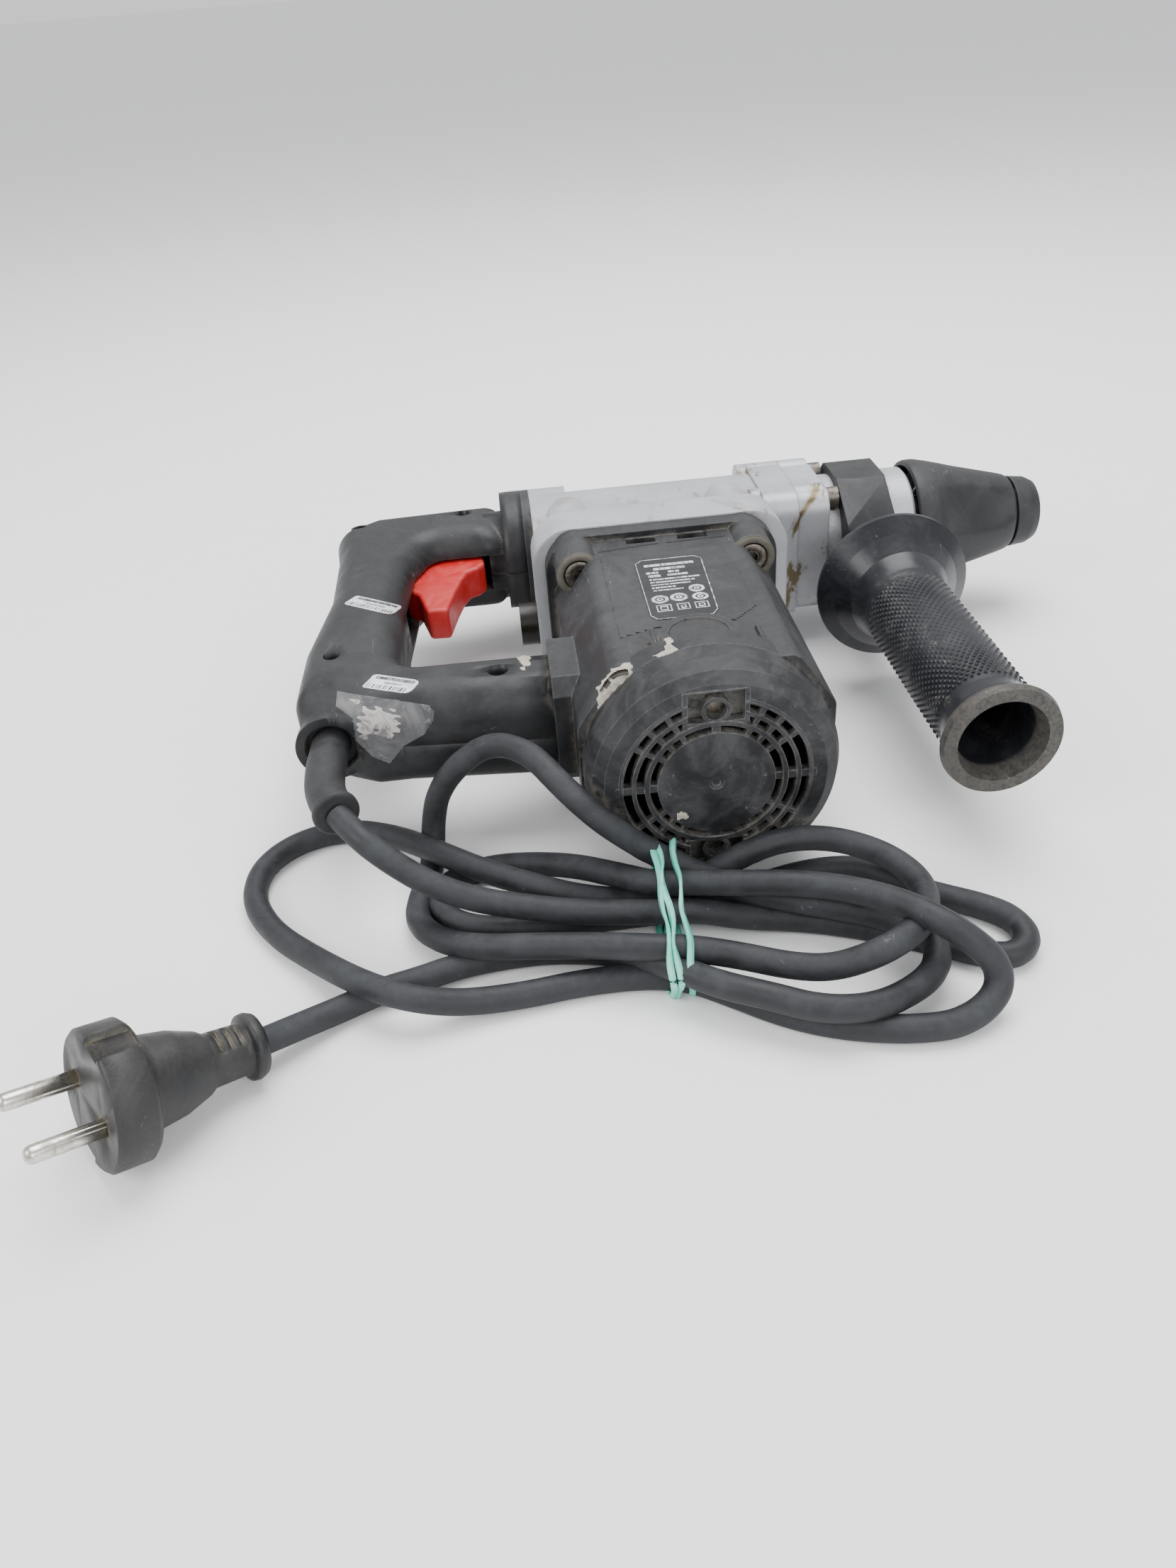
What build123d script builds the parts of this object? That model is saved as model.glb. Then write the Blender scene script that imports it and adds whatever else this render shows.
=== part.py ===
from build123d import *
from math import acos, asin, atan2, cos, degrees, pi, radians, sin, sqrt, tan
import os

os.makedirs("parts", exist_ok=True)

# Tool frame while modelling, in millimetres: X runs forward along the barrel, -Y runs
# along the motor to its grille, Z is across the tool. The barrel axis and the motor axis
# cross at the origin. The tool lies on its side, so +Z is up.

# Overall
BELL_R = 39.8          # widest round of the motor, which the tool lies on
GRILLE_Y = -177.4      # outer face of the end cap
NOSE_X = 175.6         # front of the dust cap
GRIP_REAR_X = -138.0   # rearmost point of the handle
HOUSING_TOP_Y = 37.4   # top of the round rear cover
FIT = 0.05             # radial gap of a running fit
GAP = 0.3              # gap between parts that move past each other
WALL = 3.0             # cast and moulded walls

# Barrel line
NECK_R = 23.4          # round neck under the side handle clamp
NECK_FRONT_X = 113.2
FRONT_FLANGE_X = 62.0  # joint between gear housing and front housing
NOSE_FACE_X = 75.0     # front face of the bolted flange
NOSE_BOLT_Y, NOSE_BOLT_Z = 14.5, 20.5
CYL_R, CYL_BORE = 14.0, 11.0
HOLDER_R, HOLDER_TIP_R, TOOL_BORE_R = 12.0, 11.0, 5.05
TOOL_BORE_START_X = 104.0
SLEEVE_REAR_X, SLEEVE_R = 114.0, 26.0
SLEEVE_FRONT_X, SLEEVE_FRONT_R = 159.0, 15.6
REAR_COVER_Y, REAR_COVER_R = 12.6, 24.8
REAR_X = -49.0         # joint between gear housing and handle

# Mode knob, on the side that the tool lies on
KNOB_X, KNOB_Y, KNOB_R, KNOB_STEM_R = 6.0, -6.0, 16.5, 8.0
SIDE_FACE_Z = -26.0    # side of the barrel casting that the knob turns on

# Gear train
MODULE = 1.0
PINION_TEETH, GEAR_TEETH = 8, 36
GEAR_CENTRES = MODULE * (PINION_TEETH + GEAR_TEETH) / 2
GEAR_FACE_Y = -22.0    # upper face of the two large gears
GEAR_WIDTH = 8.0
BEVEL_PINION_TEETH, BEVEL_RING_TEETH = 13, 39
BEVEL_FACE = 4.0
CRANK_THROW = 8.0
CONROD_LENGTH = 30.0
CONROD_HALF = 4.0      # half thickness of the connecting rod

# Motor
FLANGE_Y = -57.0       # joint between gear housing and motor housing
CAP_JOINT_Y = -162.0   # joint between motor housing and end cap
FLANGE_SCREW_X, FLANGE_SCREW_Z = 31.4, 27.3
BRUSH_Y = -148.8
STATOR_R, STATOR_BORE = 30.0, 19.3
ARMATURE_R = 18.5
STACK_Y0, STACK_Y1 = -126.0, -88.0
SHAFT_R = 4.0

# Handle
HANDLE_HALF = 19.0     # half thickness of the handle shells
STUB_X = -46.5         # joint between handle and motor housing
ARM_INNER_Y, ARM_OUTER_Y = -111.0, -142.0
TRIGGER_HALF = 7.5
OUTLET_X, OUTLET_Y, OUTLET_R = -121.0, -134.0, 12.0

# Side handle
SIDE_X = 91.25
SIDE_DISC_Y, SIDE_DISC_R = -58.0, 29.4
SIDE_GRIP_R, SIDE_END_R, SIDE_END_Y = 15.8, 19.5, -172.5

# Cord
CORD_D = 8.0
CORD_R = CORD_D / 2
FLOOR_Z = -BELL_R


# ---------------------------------------------------------------- basic forms
def cyl_x(x0, x1, r, y=0, z=0):
    return Pos((x0 + x1) / 2, y, z) * Rot(0, 90, 0) * Cylinder(r, abs(x1 - x0))


def cyl_y(y0, y1, r, x=0, z=0):
    return Pos(x, (y0 + y1) / 2, z) * Rot(90, 0, 0) * Cylinder(r, abs(y1 - y0))


def cyl_z(z0, z1, r, x=0, y=0):
    return Pos(x, y, (z0 + z1) / 2) * Cylinder(r, abs(z1 - z0))


def block(x0, x1, y0, y1, z0, z1):
    box = Box(abs(x1 - x0), abs(y1 - y0), abs(z1 - z0))
    return Pos((x0 + x1) / 2, (y0 + y1) / 2, (z0 + z1) / 2) * box


def turned_x(points):
    """Solid turned about the barrel axis from (x, radius) points."""
    outline = Polyline(*[(x, r, 0) for x, r in points], close=True)
    return revolve(make_face(outline), axis=Axis.X)


def turned_y(points, x=0, z=0):
    """Solid turned about an axis along Y from (y, radius) points."""
    outline = Polyline(*[(r, y, 0) for y, r in points], close=True)
    return Pos(x, 0, z) * revolve(make_face(outline), axis=Axis.Y)


def rounded_section_x(x0, x1, y0, y1, half_z, r_top, r_low):
    """Bar along X with a rounded rectangular section, top and bottom radii apart."""
    face = Plane.YZ * Pos((y0 + y1) / 2, 0) * Rectangle(y1 - y0, 2 * half_z)
    tops = [v for v in face.vertices() if v.Y > (y0 + y1) / 2]
    face = fillet(tops, r_top)
    lows = [v for v in face.vertices() if abs(v.Y - y0) < 0.01]
    face = fillet(lows, r_low)
    return Pos(x0, 0, 0) * extrude(face, amount=x1 - x0)


def rounded_section_y(y0, y1, x0, x1, half_z, r):
    """Bar along Y with a rounded rectangular section."""
    face = Plane.XZ * Pos((x0 + x1) / 2, 0) * RectangleRounded(x1 - x0, 2 * half_z, r)
    return Pos(0, y1, 0) * extrude(face, amount=y1 - y0)


def slab(points, z0, z1, radius=0):
    """Plate across the tool from an XY outline, with its corners rounded."""
    face = make_face(Polyline(*points, close=True))
    if radius:
        face = fillet(face.vertices(), radius)
    return Pos(0, 0, z0) * extrude(face, amount=z1 - z0)


def four(x, z):
    return [(sx * x, sz * z) for sx in (-1, 1) for sz in (-1, 1)]


# ---------------------------------------------------------------- gears
def involute(base, radius):
    """Angle in radians that an involute has turned through at a radius."""
    if radius <= base:
        return 0.0
    a = acos(base / radius)
    return tan(a) - a


def spur_gear(teeth, y_low, width, x, bore, turn=0.0, slack=0.22):
    """Straight gear on an axis along Y, its flanks true involutes."""
    pitch = MODULE * teeth / 2
    base = pitch * cos(radians(20))
    tip, root = pitch + 0.85 * MODULE, pitch - 1.2 * MODULE
    half = pi / (2 * teeth) - slack / (2 * pitch) + involute(base, pitch)
    rows = [root, max(base, root + 0.3), pitch, (pitch + tip) / 2, tip]
    outline = []
    for k in range(teeth):
        mid = 2 * pi * k / teeth
        flank = [(r, half - involute(base, r)) for r in rows]
        left = [(r, mid - a) for r, a in flank]
        right = [(r, mid + a) for r, a in reversed(flank)]
        outline += [(r * cos(a), r * sin(a)) for r, a in left + right]
    face = make_face(Polyline(*outline, close=True))
    if bore:
        face -= Circle(bore)
    gear = Rot(0, 0, turn) * extrude(face, amount=width)
    return Pos(x, y_low, 0) * Rot(-90, 0, 0) * gear


def bevel_teeth(teeth, cone_angle, cone_distance, slack=0.42):
    """Ring of straight bevel teeth about +Z, its cone apex at the origin."""
    def section(distance):
        scale = distance / cone_distance
        half_pitch = (pi * MODULE / 4 - slack / 2) * scale
        up, down = 0.75 * MODULE * scale, 1.3 * MODULE * scale
        lean = tan(radians(22))
        centre = Vector(distance * sin(cone_angle), 0, distance * cos(cone_angle))
        along = Vector(sin(cone_angle), 0, cos(cone_angle))
        frame = Plane(origin=centre, x_dir=(0, 1, 0), z_dir=along)
        rise = 1 if frame.y_dir.dot(Vector(cos(cone_angle), 0, -sin(cone_angle))) > 0 else -1
        low, high = half_pitch + down * lean, half_pitch - up * lean
        corners = [(-low, -rise * down), (low, -rise * down), (high, rise * up), (-high, rise * up)]
        return frame * make_face(Polyline(*corners, close=True))

    tooth = loft([section(cone_distance), section(cone_distance - BEVEL_FACE)])
    return [Rot(0, 0, 360 * k / teeth) * tooth for k in range(teeth)]


def coil_spring(radius, wire, length, turns):
    """Helical spring standing on the origin along +Z."""
    path = Helix(pitch=length / turns, height=length, radius=radius)
    start = Plane(origin=path @ 0, z_dir=path % 0)
    return sweep(start * Circle(wire), path=path, is_frenet=True)


# ---------------------------------------------------------------- castings
def gear_housing():
    barrel = rounded_section_x(REAR_X + 3.5, FRONT_FLANGE_X - 14, -50, 20, 26, 16, 6)
    case = rounded_section_y(FLANGE_Y, -34, -47.5, 50, 36, 15)
    shoulder = chamfer(case.faces().sort_by(Axis.Y)[-1].edges(), 5)
    rear = cyl_x(REAR_X + 3.5, -30, REAR_COVER_R, REAR_COVER_Y)
    bump = cyl_x(-30, -14, REAR_COVER_R - 3, REAR_COVER_Y - 3)
    body = barrel + shoulder + rear + bump
    for x, z in four(FLANGE_SCREW_X, FLANGE_SCREW_Z):
        body += cyl_y(FLANGE_Y, -24, 8.4, x, z)
    flange = rounded_section_x(48, FRONT_FLANGE_X, -27, 21, 27, 12, 8)
    body += flange
    for y, z in four(NOSE_BOLT_Y, NOSE_BOLT_Z):
        body += cyl_x(44, FRONT_FLANGE_X, 6.6, y, z)
    # The inside: cylinder bore, crank chamber, gear chamber and bearing seats.
    body -= cyl_x(-46.5, FRONT_FLANGE_X + 1, CYL_R + 1.5)
    body -= block(-43, 10, -35, 15, -21, 21)
    body -= cyl_x(-46.5, -40, REAR_COVER_R - 4, REAR_COVER_Y)
    body -= block(-43.5, 44, -34, -15, -21, 21)
    body -= cyl_x(26, 40, 22)
    body -= cyl_y(-48, -33, 13.02)
    body -= cyl_y(FLANGE_Y - 1, -47, 10)
    body -= cyl_y(-44, -33, 8.02, -GEAR_CENTRES)
    body -= cyl_y(-44, -33, 8.02, GEAR_CENTRES)
    body -= cyl_z(-30, -20, KNOB_STEM_R + FIT, KNOB_X, KNOB_Y)
    body -= block(-36, 36, FLANGE_Y - 1, -52, -24, 24)
    for x, z in four(FLANGE_SCREW_X, FLANGE_SCREW_Z):
        body -= cyl_y(FLANGE_Y - 1, -38, 2.5, x, z)
    for y, z in four(NOSE_BOLT_Y, NOSE_BOLT_Z):
        body -= cyl_x(50, FRONT_FLANGE_X + 1, 2.5, y, z)
    return body


def rear_cover():
    plate = cyl_x(REAR_X, REAR_X + 3.5, REAR_COVER_R, REAR_COVER_Y)
    spigot = cyl_x(REAR_X + 3.5, -43.5, REAR_COVER_R - 4.05, REAR_COVER_Y)
    return plate + spigot


def front_housing():
    flange = rounded_section_x(FRONT_FLANGE_X, NOSE_FACE_X, -25, 21, 26, 12, 8)
    for y, z in four(NOSE_BOLT_Y, NOSE_BOLT_Z):
        flange += cyl_x(FRONT_FLANGE_X, NOSE_FACE_X - 1, 6.6, y, z)
    neck = cyl_x(NOSE_FACE_X - 2, NECK_FRONT_X, NECK_R)
    neck = chamfer(neck.faces().sort_by(Axis.X)[-1].edges(), 1.2)
    body = flange + neck
    body -= cyl_x(FRONT_FLANGE_X - 1, 84, CYL_R + 1.5)
    body -= cyl_x(83, NECK_FRONT_X - 5, 18.0)
    body -= cyl_x(NECK_FRONT_X - 6, NECK_FRONT_X + 1, 13.5)
    for y, z in four(NOSE_BOLT_Y, NOSE_BOLT_Z):
        body -= cyl_x(FRONT_FLANGE_X - 1, NOSE_FACE_X, 2.55, y, z)
        body -= cyl_x(NOSE_FACE_X, NOSE_FACE_X + 7, 5.2, y, z)
    return body


def socket_screw_x(x_head, shank_to, y, z, r_head=4.3, r_shank=2.5):
    head = cyl_x(x_head, x_head + 5.4, r_head, y, z)
    head -= cyl_x(x_head + 2.4, x_head + 6, 2.2, y, z)
    return head + cyl_x(shank_to, x_head, r_shank - 0.02, y, z)


def socket_screw_y(y_head, shank_to, x, z, r_head=4.3, r_shank=2.5):
    head = cyl_y(y_head - 5, y_head, r_head, x, z)
    head -= cyl_y(y_head - 6, y_head - 2.5, 2.2, x, z)
    return head + cyl_y(y_head, shank_to, r_shank - 0.02, x, z)


# ---------------------------------------------------------------- motor
def motor_body_outer():
    """Flange, tapering eight-sided body and round bell as one closed form."""
    near, side, flat = 33.0, 40.5, 28.0
    pts = [(flat, near), (side, 15), (side, -15), (flat, -near)]
    pts += [(-x, z) for x, z in reversed(pts)]
    face = Plane.XZ * fillet(make_face(Polyline(*pts, close=True)).vertices(), 5)
    body = Pos(0, FLANGE_Y, 0) * extrude(face, amount=-(CAP_JOINT_Y - FLANGE_Y))
    bell = turned_y([(CAP_JOINT_Y, 0), (CAP_JOINT_Y, BELL_R), (-153, BELL_R), (-147, 36), (-136, 33), (-136, 0)])
    flange = rounded_section_y(FLANGE_Y - 7, FLANGE_Y, -43, 44, 35.5, 14)
    body = body + bell + flange
    for x, z in four(FLANGE_SCREW_X, FLANGE_SCREW_Z):
        body += cyl_y(-79, FLANGE_Y, 8.4, x, z)
    for side_z in (-1, 1):
        body += cyl_z(side_z * 25, side_z * 37.2, 12.1, 0, BRUSH_Y)
    stub = block(STUB_X, -30, ARM_OUTER_Y, ARM_INNER_Y, -20, 20)
    stub = chamfer(stub.edges().filter_by(Axis.X).group_by(Axis.Y)[0], 5)
    return body + stub


def motor_housing():
    body = motor_body_outer()
    body -= cyl_y(CAP_JOINT_Y - 1, -64, 30.05)
    body -= cyl_y(-66, FLANGE_Y + 1, 13.5)
    body -= cyl_y(CAP_JOINT_Y - 1, -156, 35)
    for x, z in four(FLANGE_SCREW_X, FLANGE_SCREW_Z):
        body -= cyl_y(-80, FLANGE_Y + 1, 2.55, x, z)
        body -= cyl_y(-80, -74.0, 5.6, x, z)
    for side_z in (-1, 1):
        body -= cyl_z(side_z * 15, side_z * 38, 6.0, 0, BRUSH_Y)
        body -= cyl_z(side_z * 34.4, side_z * 38, 9.4, 0, BRUSH_Y)
        # Air slots under the flange, along the two broad faces.
        for x in (-13, 6):
            body -= block(x, x + 11, -69, -64.5, side_z * 20, side_z * 40)
        body -= cyl_y(CAP_JOINT_Y - 1, -150, 1.9, 0, side_z * 25.7)
    body -= block(STUB_X - 1, -28, ARM_OUTER_Y + WALL, ARM_INNER_Y - WALL, -17, 17)
    return body


SLOT_RINGS = [(18.2, 20.6), (22.2, 24.8), (26.2, 28.8)]


def end_cap():
    """Round cap with three rings of air slots, four main spokes and short bars."""
    shell = turned_y([
        (CAP_JOINT_Y, 0), (CAP_JOINT_Y, BELL_R), (-170, BELL_R), (-174.5, 38), (GRILLE_Y + 0.6, 34.5),
        (GRILLE_Y + 0.6, 30), (GRILLE_Y, 29.4), (GRILLE_Y, 0)])
    shell -= turned_y([(CAP_JOINT_Y + 1, 0), (CAP_JOINT_Y + 1, 36), (-171, 35.5), (-174, 31), (-174, 0)])
    hub_cup = turned_y([(-175, 0), (-175, 11), (-163, 11), (-163, 8.02), (-171, 8.02), (-171, 0)])
    shell += hub_cup
    for inner, outer in SLOT_RINGS:
        ring = turned_y([(GRILLE_Y - 1, inner), (GRILLE_Y - 1, outer), (-172, outer), (-172, inner)])
        shell -= ring
    for k in range(4):
        spoke = block(17, 31, GRILLE_Y + 0.5, -174, -1.3, 1.3)
        shell += Rot(0, 90 * k, 0) * spoke
    for k in range(4):
        for offset in (-14, 0, 14):
            bar = block(17, 30, GRILLE_Y + 0.8, -174, -0.8, 0.8)
            shell += Rot(0, 45 + 90 * k + offset, 0) * bar
    for side_z in (-1, 1):
        mid_z = side_z * 27
        pocket = block(-8.5, 8.5, GRILLE_Y - 1, -172, mid_z - 5, mid_z + 5)
        frame = block(-10, 10, GRILLE_Y + 0.3, -174, mid_z - 6.4, mid_z + 5.5)
        shell += frame
        shell -= pocket
        floor = block(-9, 9, -173.5, -172.5, mid_z - 5.2, mid_z + 5.2)
        post = cyl_y(GRILLE_Y + 0.4, CAP_JOINT_Y, 4.4, 0, side_z * 25.7)
        shell += floor + post
        shell -= cyl_y(GRILLE_Y - 1, -170, 3.2, 0, side_z * 25.7)
        shell -= cyl_y(-171, CAP_JOINT_Y + 1, 1.9, 0, side_z * 25.7)
    shell -= turned_y([(GRILLE_Y - 1, 0), (GRILLE_Y - 1, 3.2), (GRILLE_Y + 0.9, 1.4), (GRILLE_Y + 0.9, 0)])
    return shell


def stator_core():
    ring = cyl_y(STACK_Y0, STACK_Y1, STATOR_R) - cyl_y(STACK_Y0 - 1, STACK_Y1 + 1, STATOR_BORE)
    for side_x in (-1, 1):
        for side_z in (-1, 1):
            pocket = block(side_x * 7.5, side_x * 16.5, STACK_Y0 - 1, STACK_Y1 + 1, side_z * 17.5, side_z * 23.5)
            ring -= pocket
    return ring


def field_coils():
    coils = []
    for side_z in (-1, 1):
        bars = []
        for y0, y1 in ((STACK_Y0 - 7, STACK_Y0), (STACK_Y1, STACK_Y1 + 6)):
            ring = cyl_y(y0, y1, 28) - cyl_y(y0 - 1, y1 + 1, 20.5)
            bars.append(ring & block(-20, 20, y0, y1, side_z * 13, side_z * 30))
        for side_x in (-1, 1):
            bars.append(block(side_x * 8, side_x * 16, STACK_Y0 - 1, STACK_Y1 + 1, side_z * 18, side_z * 23))
        coil = bars[0]
        for bar in bars[1:]:
            coil += bar
        coils.append(coil)
    return Compound(coils)


def armature_core():
    core = cyl_y(STACK_Y0, STACK_Y1, ARMATURE_R) - cyl_y(STACK_Y0 - 1, STACK_Y1 + 1, SHAFT_R)
    for k in range(12):
        slot = block(ARMATURE_R - 5.5, ARMATURE_R + 1, STACK_Y0 - 1, STACK_Y1 + 1, -0.9, 0.9)
        core -= Rot(0, 30 * k, 0) * slot
    return core


def armature_windings():
    ends = []
    for y0, y1 in ((STACK_Y0 - 7, STACK_Y0), (STACK_Y1, STACK_Y1 + 7)):
        lump = turned_y([(y0, SHAFT_R), (y0, 13), (y0 + 1.5, 16), (y1 - 1, 17), (y1, 17), (y1, SHAFT_R)])
        if y0 > STACK_Y0:
            lump = turned_y([(y0, SHAFT_R), (y0, 17), (y0 + 1, 17), (y1 - 1.5, 16), (y1, 13), (y1, SHAFT_R)])
        ends.append(lump)
    return Compound(ends)


def commutator():
    drum = cyl_y(-156, -139, 10.5) - cyl_y(-157, -138, SHAFT_R)
    for k in range(24):
        groove = block(9.7, 11, -157, -140.5, -0.25, 0.25)
        drum -= Rot(0, 15 * k, 0) * groove
    return drum


def fan():
    y0, y1 = -79.0, -69.0
    disc = turned_y([(y1, SHAFT_R), (y1, 27), (y1 - 1.6, 27), (y1 - 3, 9), (y0, 8), (y0, SHAFT_R)])
    for k in range(11):
        blade = block(10, 26.5, y0 + 1, y1 - 1, -0.8, 0.8)
        disc += Rot(0, 360 * k / 11, 0) * Pos(0, 0, 3) * blade
    return disc


def armature_shaft():
    shaft = cyl_y(-169, GEAR_FACE_Y - GEAR_WIDTH - 1, SHAFT_R)
    pinion = spur_gear(PINION_TEETH, GEAR_FACE_Y - GEAR_WIDTH - 1, GEAR_WIDTH + 2, 0, 0, 360 / PINION_TEETH / 2)
    return shaft + pinion


def ball_bearing_y(y0, y1, r_in, r_out, x=0):
    ring = turned_y([
        (y0, r_in), (y0, r_in + 1.6), (y0 + 0.6, r_in + 1.6), (y0 + 0.6, r_out - 1.6), (y0, r_out - 1.6),
        (y0, r_out), (y1, r_out), (y1, r_out - 1.6), (y1 - 0.6, r_out - 1.6), (y1 - 0.6, r_in + 1.6),
        (y1, r_in + 1.6), (y1, r_in)], x)
    return ring


# ---------------------------------------------------------------- hammer mechanism
def crank_gear():
    x = -GEAR_CENTRES
    low = GEAR_FACE_Y - GEAR_WIDTH
    gear = spur_gear(GEAR_TEETH, low, GEAR_WIDTH, x, 0)
    gear += cyl_y(-43.5, low, 3.5, x)
    web = cyl_y(GEAR_FACE_Y, -10, 13, x)
    pin = cyl_y(-10, -CONROD_HALF - GAP, 3.5, x + CRANK_THROW)
    return gear + web + pin


def intermediate_gear():
    low = GEAR_FACE_Y - GEAR_WIDTH
    gear = spur_gear(GEAR_TEETH, low, GEAR_WIDTH, GEAR_CENTRES, 0)
    return gear + cyl_y(-43.5, low, 3.5, GEAR_CENTRES)


RING_R = MODULE * BEVEL_RING_TEETH / 2
BEVEL_PINION_R = MODULE * BEVEL_PINION_TEETH / 2
CONE_DISTANCE = sqrt(RING_R ** 2 + BEVEL_PINION_R ** 2)


def bevel_pinion():
    """Small bevel on the intermediate shaft, its apex on the barrel axis."""
    angle = atan2(BEVEL_PINION_R, RING_R)
    scale = 1 - BEVEL_FACE / CONE_DISTANCE
    down = 1.0
    big, small = BEVEL_PINION_R - down, (BEVEL_PINION_R - down) * scale
    blank = turned_y([
        (GEAR_FACE_Y, 0), (GEAR_FACE_Y, big), (-RING_R - 0.2, big),
        (-RING_R * scale, small), (-RING_R * scale, 0)])
    teeth = bevel_teeth(BEVEL_PINION_TEETH, angle, CONE_DISTANCE)
    teeth = [Rot(90, 0, 0) * t for t in teeth]
    return Pos(GEAR_CENTRES, 0, 0) * (blank + teeth)


def bevel_ring_gear():
    """Large bevel fixed on the cylinder, its teeth facing the crank."""
    angle = atan2(RING_R, BEVEL_PINION_R)
    scale = 1 - BEVEL_FACE / CONE_DISTANCE
    back = 1.0
    x_big, x_small = BEVEL_PINION_R + back, BEVEL_PINION_R * scale + back
    blank = turned_x([
        (x_big, RING_R), (x_big + 1.5, RING_R), (x_big + 3.5, CYL_R + 2), (x_big + 6, CYL_R + 2),
        (x_big + 6, CYL_R), (x_small + 0.4, CYL_R), (x_small, RING_R * scale)])
    teeth = bevel_teeth(BEVEL_RING_TEETH, angle, CONE_DISTANCE)
    phase = 0.75 * 360 / BEVEL_RING_TEETH
    teeth = [Rot(phase, 0, 0) * Rot(0, 90, 0) * t for t in teeth]
    return Pos(GEAR_CENTRES, 0, 0) * (blank + teeth)


CYL_X0, CYL_X1 = -6.0, 58.0


def hammer_cylinder():
    tube = cyl_x(CYL_X0, CYL_X1, CYL_R) - cyl_x(CYL_X0 - 1, CYL_X1 + 1, CYL_BORE)
    for k in range(3):
        tube -= Rot(120 * k, 0, 0) * cyl_z(8, 20, 1.5, 44, 0)
    return tube


HOLDER_END_X = 169.0
BALL_X, BALL_Y = 136.0, 8.6


def tool_holder():
    body = turned_x([
        (CYL_X1, 0), (CYL_X1, CYL_R), (66, CYL_R), (68, HOLDER_R), (NECK_FRONT_X + 1.5, HOLDER_R),
        (NECK_FRONT_X + 3, HOLDER_TIP_R), (HOLDER_END_X - 1, HOLDER_TIP_R),
        (HOLDER_END_X, HOLDER_TIP_R - 1), (HOLDER_END_X, 0)])
    body -= cyl_x(CYL_X1 - 1, TOOL_BORE_START_X, 7.1)
    body -= cyl_x(TOOL_BORE_START_X - 1, HOLDER_END_X + 1, TOOL_BORE_R)
    for side in (-1, 1):
        body -= Pos(BALL_X, side * BALL_Y, 0) * Sphere(3.56)
        body -= cyl_y(side * 4.0, side * BALL_Y, 2.4, BALL_X)
        body -= cyl_y(side * BALL_Y, side * 12.5, 3.56, BALL_X)
    return body


def locking_balls():
    return Compound([Pos(BALL_X, side * BALL_Y, 0) * Sphere(3.5) for side in (-1, 1)])


def lock_sleeve():
    """Tapered grip sleeve with three shallow finger recesses."""
    sleeve = turned_x([
        (SLEEVE_REAR_X, 24.0), (SLEEVE_REAR_X, SLEEVE_R - 1), (SLEEVE_REAR_X + 2, SLEEVE_R),
        (SLEEVE_REAR_X + 5, SLEEVE_R), (138, 21.0), (SLEEVE_FRONT_X, SLEEVE_FRONT_R),
        (SLEEVE_FRONT_X, HOLDER_TIP_R + 0.1), (148, HOLDER_TIP_R + 0.1), (148, 12.4),
        (128, 12.4), (128, 18.5), (121, 24.0)])
    for k in range(3):
        cut = Pos(145, 0, 41) * Rot(0, 90 + 12, 0) * Cylinder(24, 46)
        sleeve -= Rot(30 + 120 * k, 0, 0) * cut
    return sleeve


def dust_cap():
    return turned_x([
        (SLEEVE_FRONT_X + 10.5, 6.5), (SLEEVE_FRONT_X + 10.5, HOLDER_TIP_R), (SLEEVE_FRONT_X + 1.0, HOLDER_TIP_R),
        (SLEEVE_FRONT_X + 1.0, 15.0), (170, 14.2), (NOSE_X - 1, 12.6), (NOSE_X, 11.4), (NOSE_X, 5.6),
        (173, 5.6), (172.2, 6.5)])


def lock_spring():
    spring = coil_spring(15.2, 0.8, 4.0, 2.5)
    return Pos(NECK_FRONT_X + 9.4, 0, 0) * Rot(0, 90, 0) * spring


WRIST_X = -GEAR_CENTRES + CRANK_THROW + CONROD_LENGTH


def piston():
    body = cyl_x(WRIST_X - 9, WRIST_X + 10, CYL_BORE - FIT)
    body -= block(WRIST_X - 10, WRIST_X + 6, -CONROD_HALF - GAP, CONROD_HALF + GAP, -20, 20)
    body -= cyl_y(-12, 12, 3.0, WRIST_X)
    return body - ring_groove(WRIST_X + 7.6)


def ring_groove(x):
    return cyl_x(x - 0.9, x + 0.9, CYL_BORE + 1) - cyl_x(x - 1, x + 1, CYL_BORE - 1.6)


def piston_ring():
    x = WRIST_X + 7.6
    return cyl_x(x - 0.88, x + 0.88, CYL_BORE - FIT) - cyl_x(x - 1, x + 1, CYL_BORE - 1.6)


def wrist_pin():
    return cyl_y(-9.5, 9.5, 3.0, WRIST_X)


def conrod():
    big_x = WRIST_X - CONROD_LENGTH
    rod = cyl_y(-CONROD_HALF, CONROD_HALF, 6.5, big_x)
    rod += cyl_y(-CONROD_HALF, CONROD_HALF, 5.6, WRIST_X)
    rod += block(big_x, WRIST_X, -CONROD_HALF + 1, CONROD_HALF - 1, -3.4, 3.4)
    rod -= cyl_y(-10, 10, 3.0 + FIT, WRIST_X)
    return rod


def striker():
    return turned_x([(33, 0), (33, 9), (34, CYL_BORE - FIT), (50, CYL_BORE - FIT), (52, 7), (56, 7), (56, 0)])


def impact_bolt():
    return turned_x([(57.5, 0), (57.5, 5.5), (62, 6.9), (62.1, 7.05), (86, 7.05), (88, 4.9), (103, 4.9), (103, 0)])


# ---------------------------------------------------------------- handle
HANDLE_ROUND = 12.0
HANDLE_OUTLINE = [
    (-58, 27), (-114, 27), (-133.5, 14), (-131.5, -8), (-134.5, -50), (-138, -92), (-137, -122),
    (-109, -137), (-97, -137), (STUB_X, -142), (STUB_X, ARM_INNER_Y), (-97, ARM_INNER_Y + 1), (-98, -62),
    (-95, -26), (-88, -9), (-58, -9)]


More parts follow.
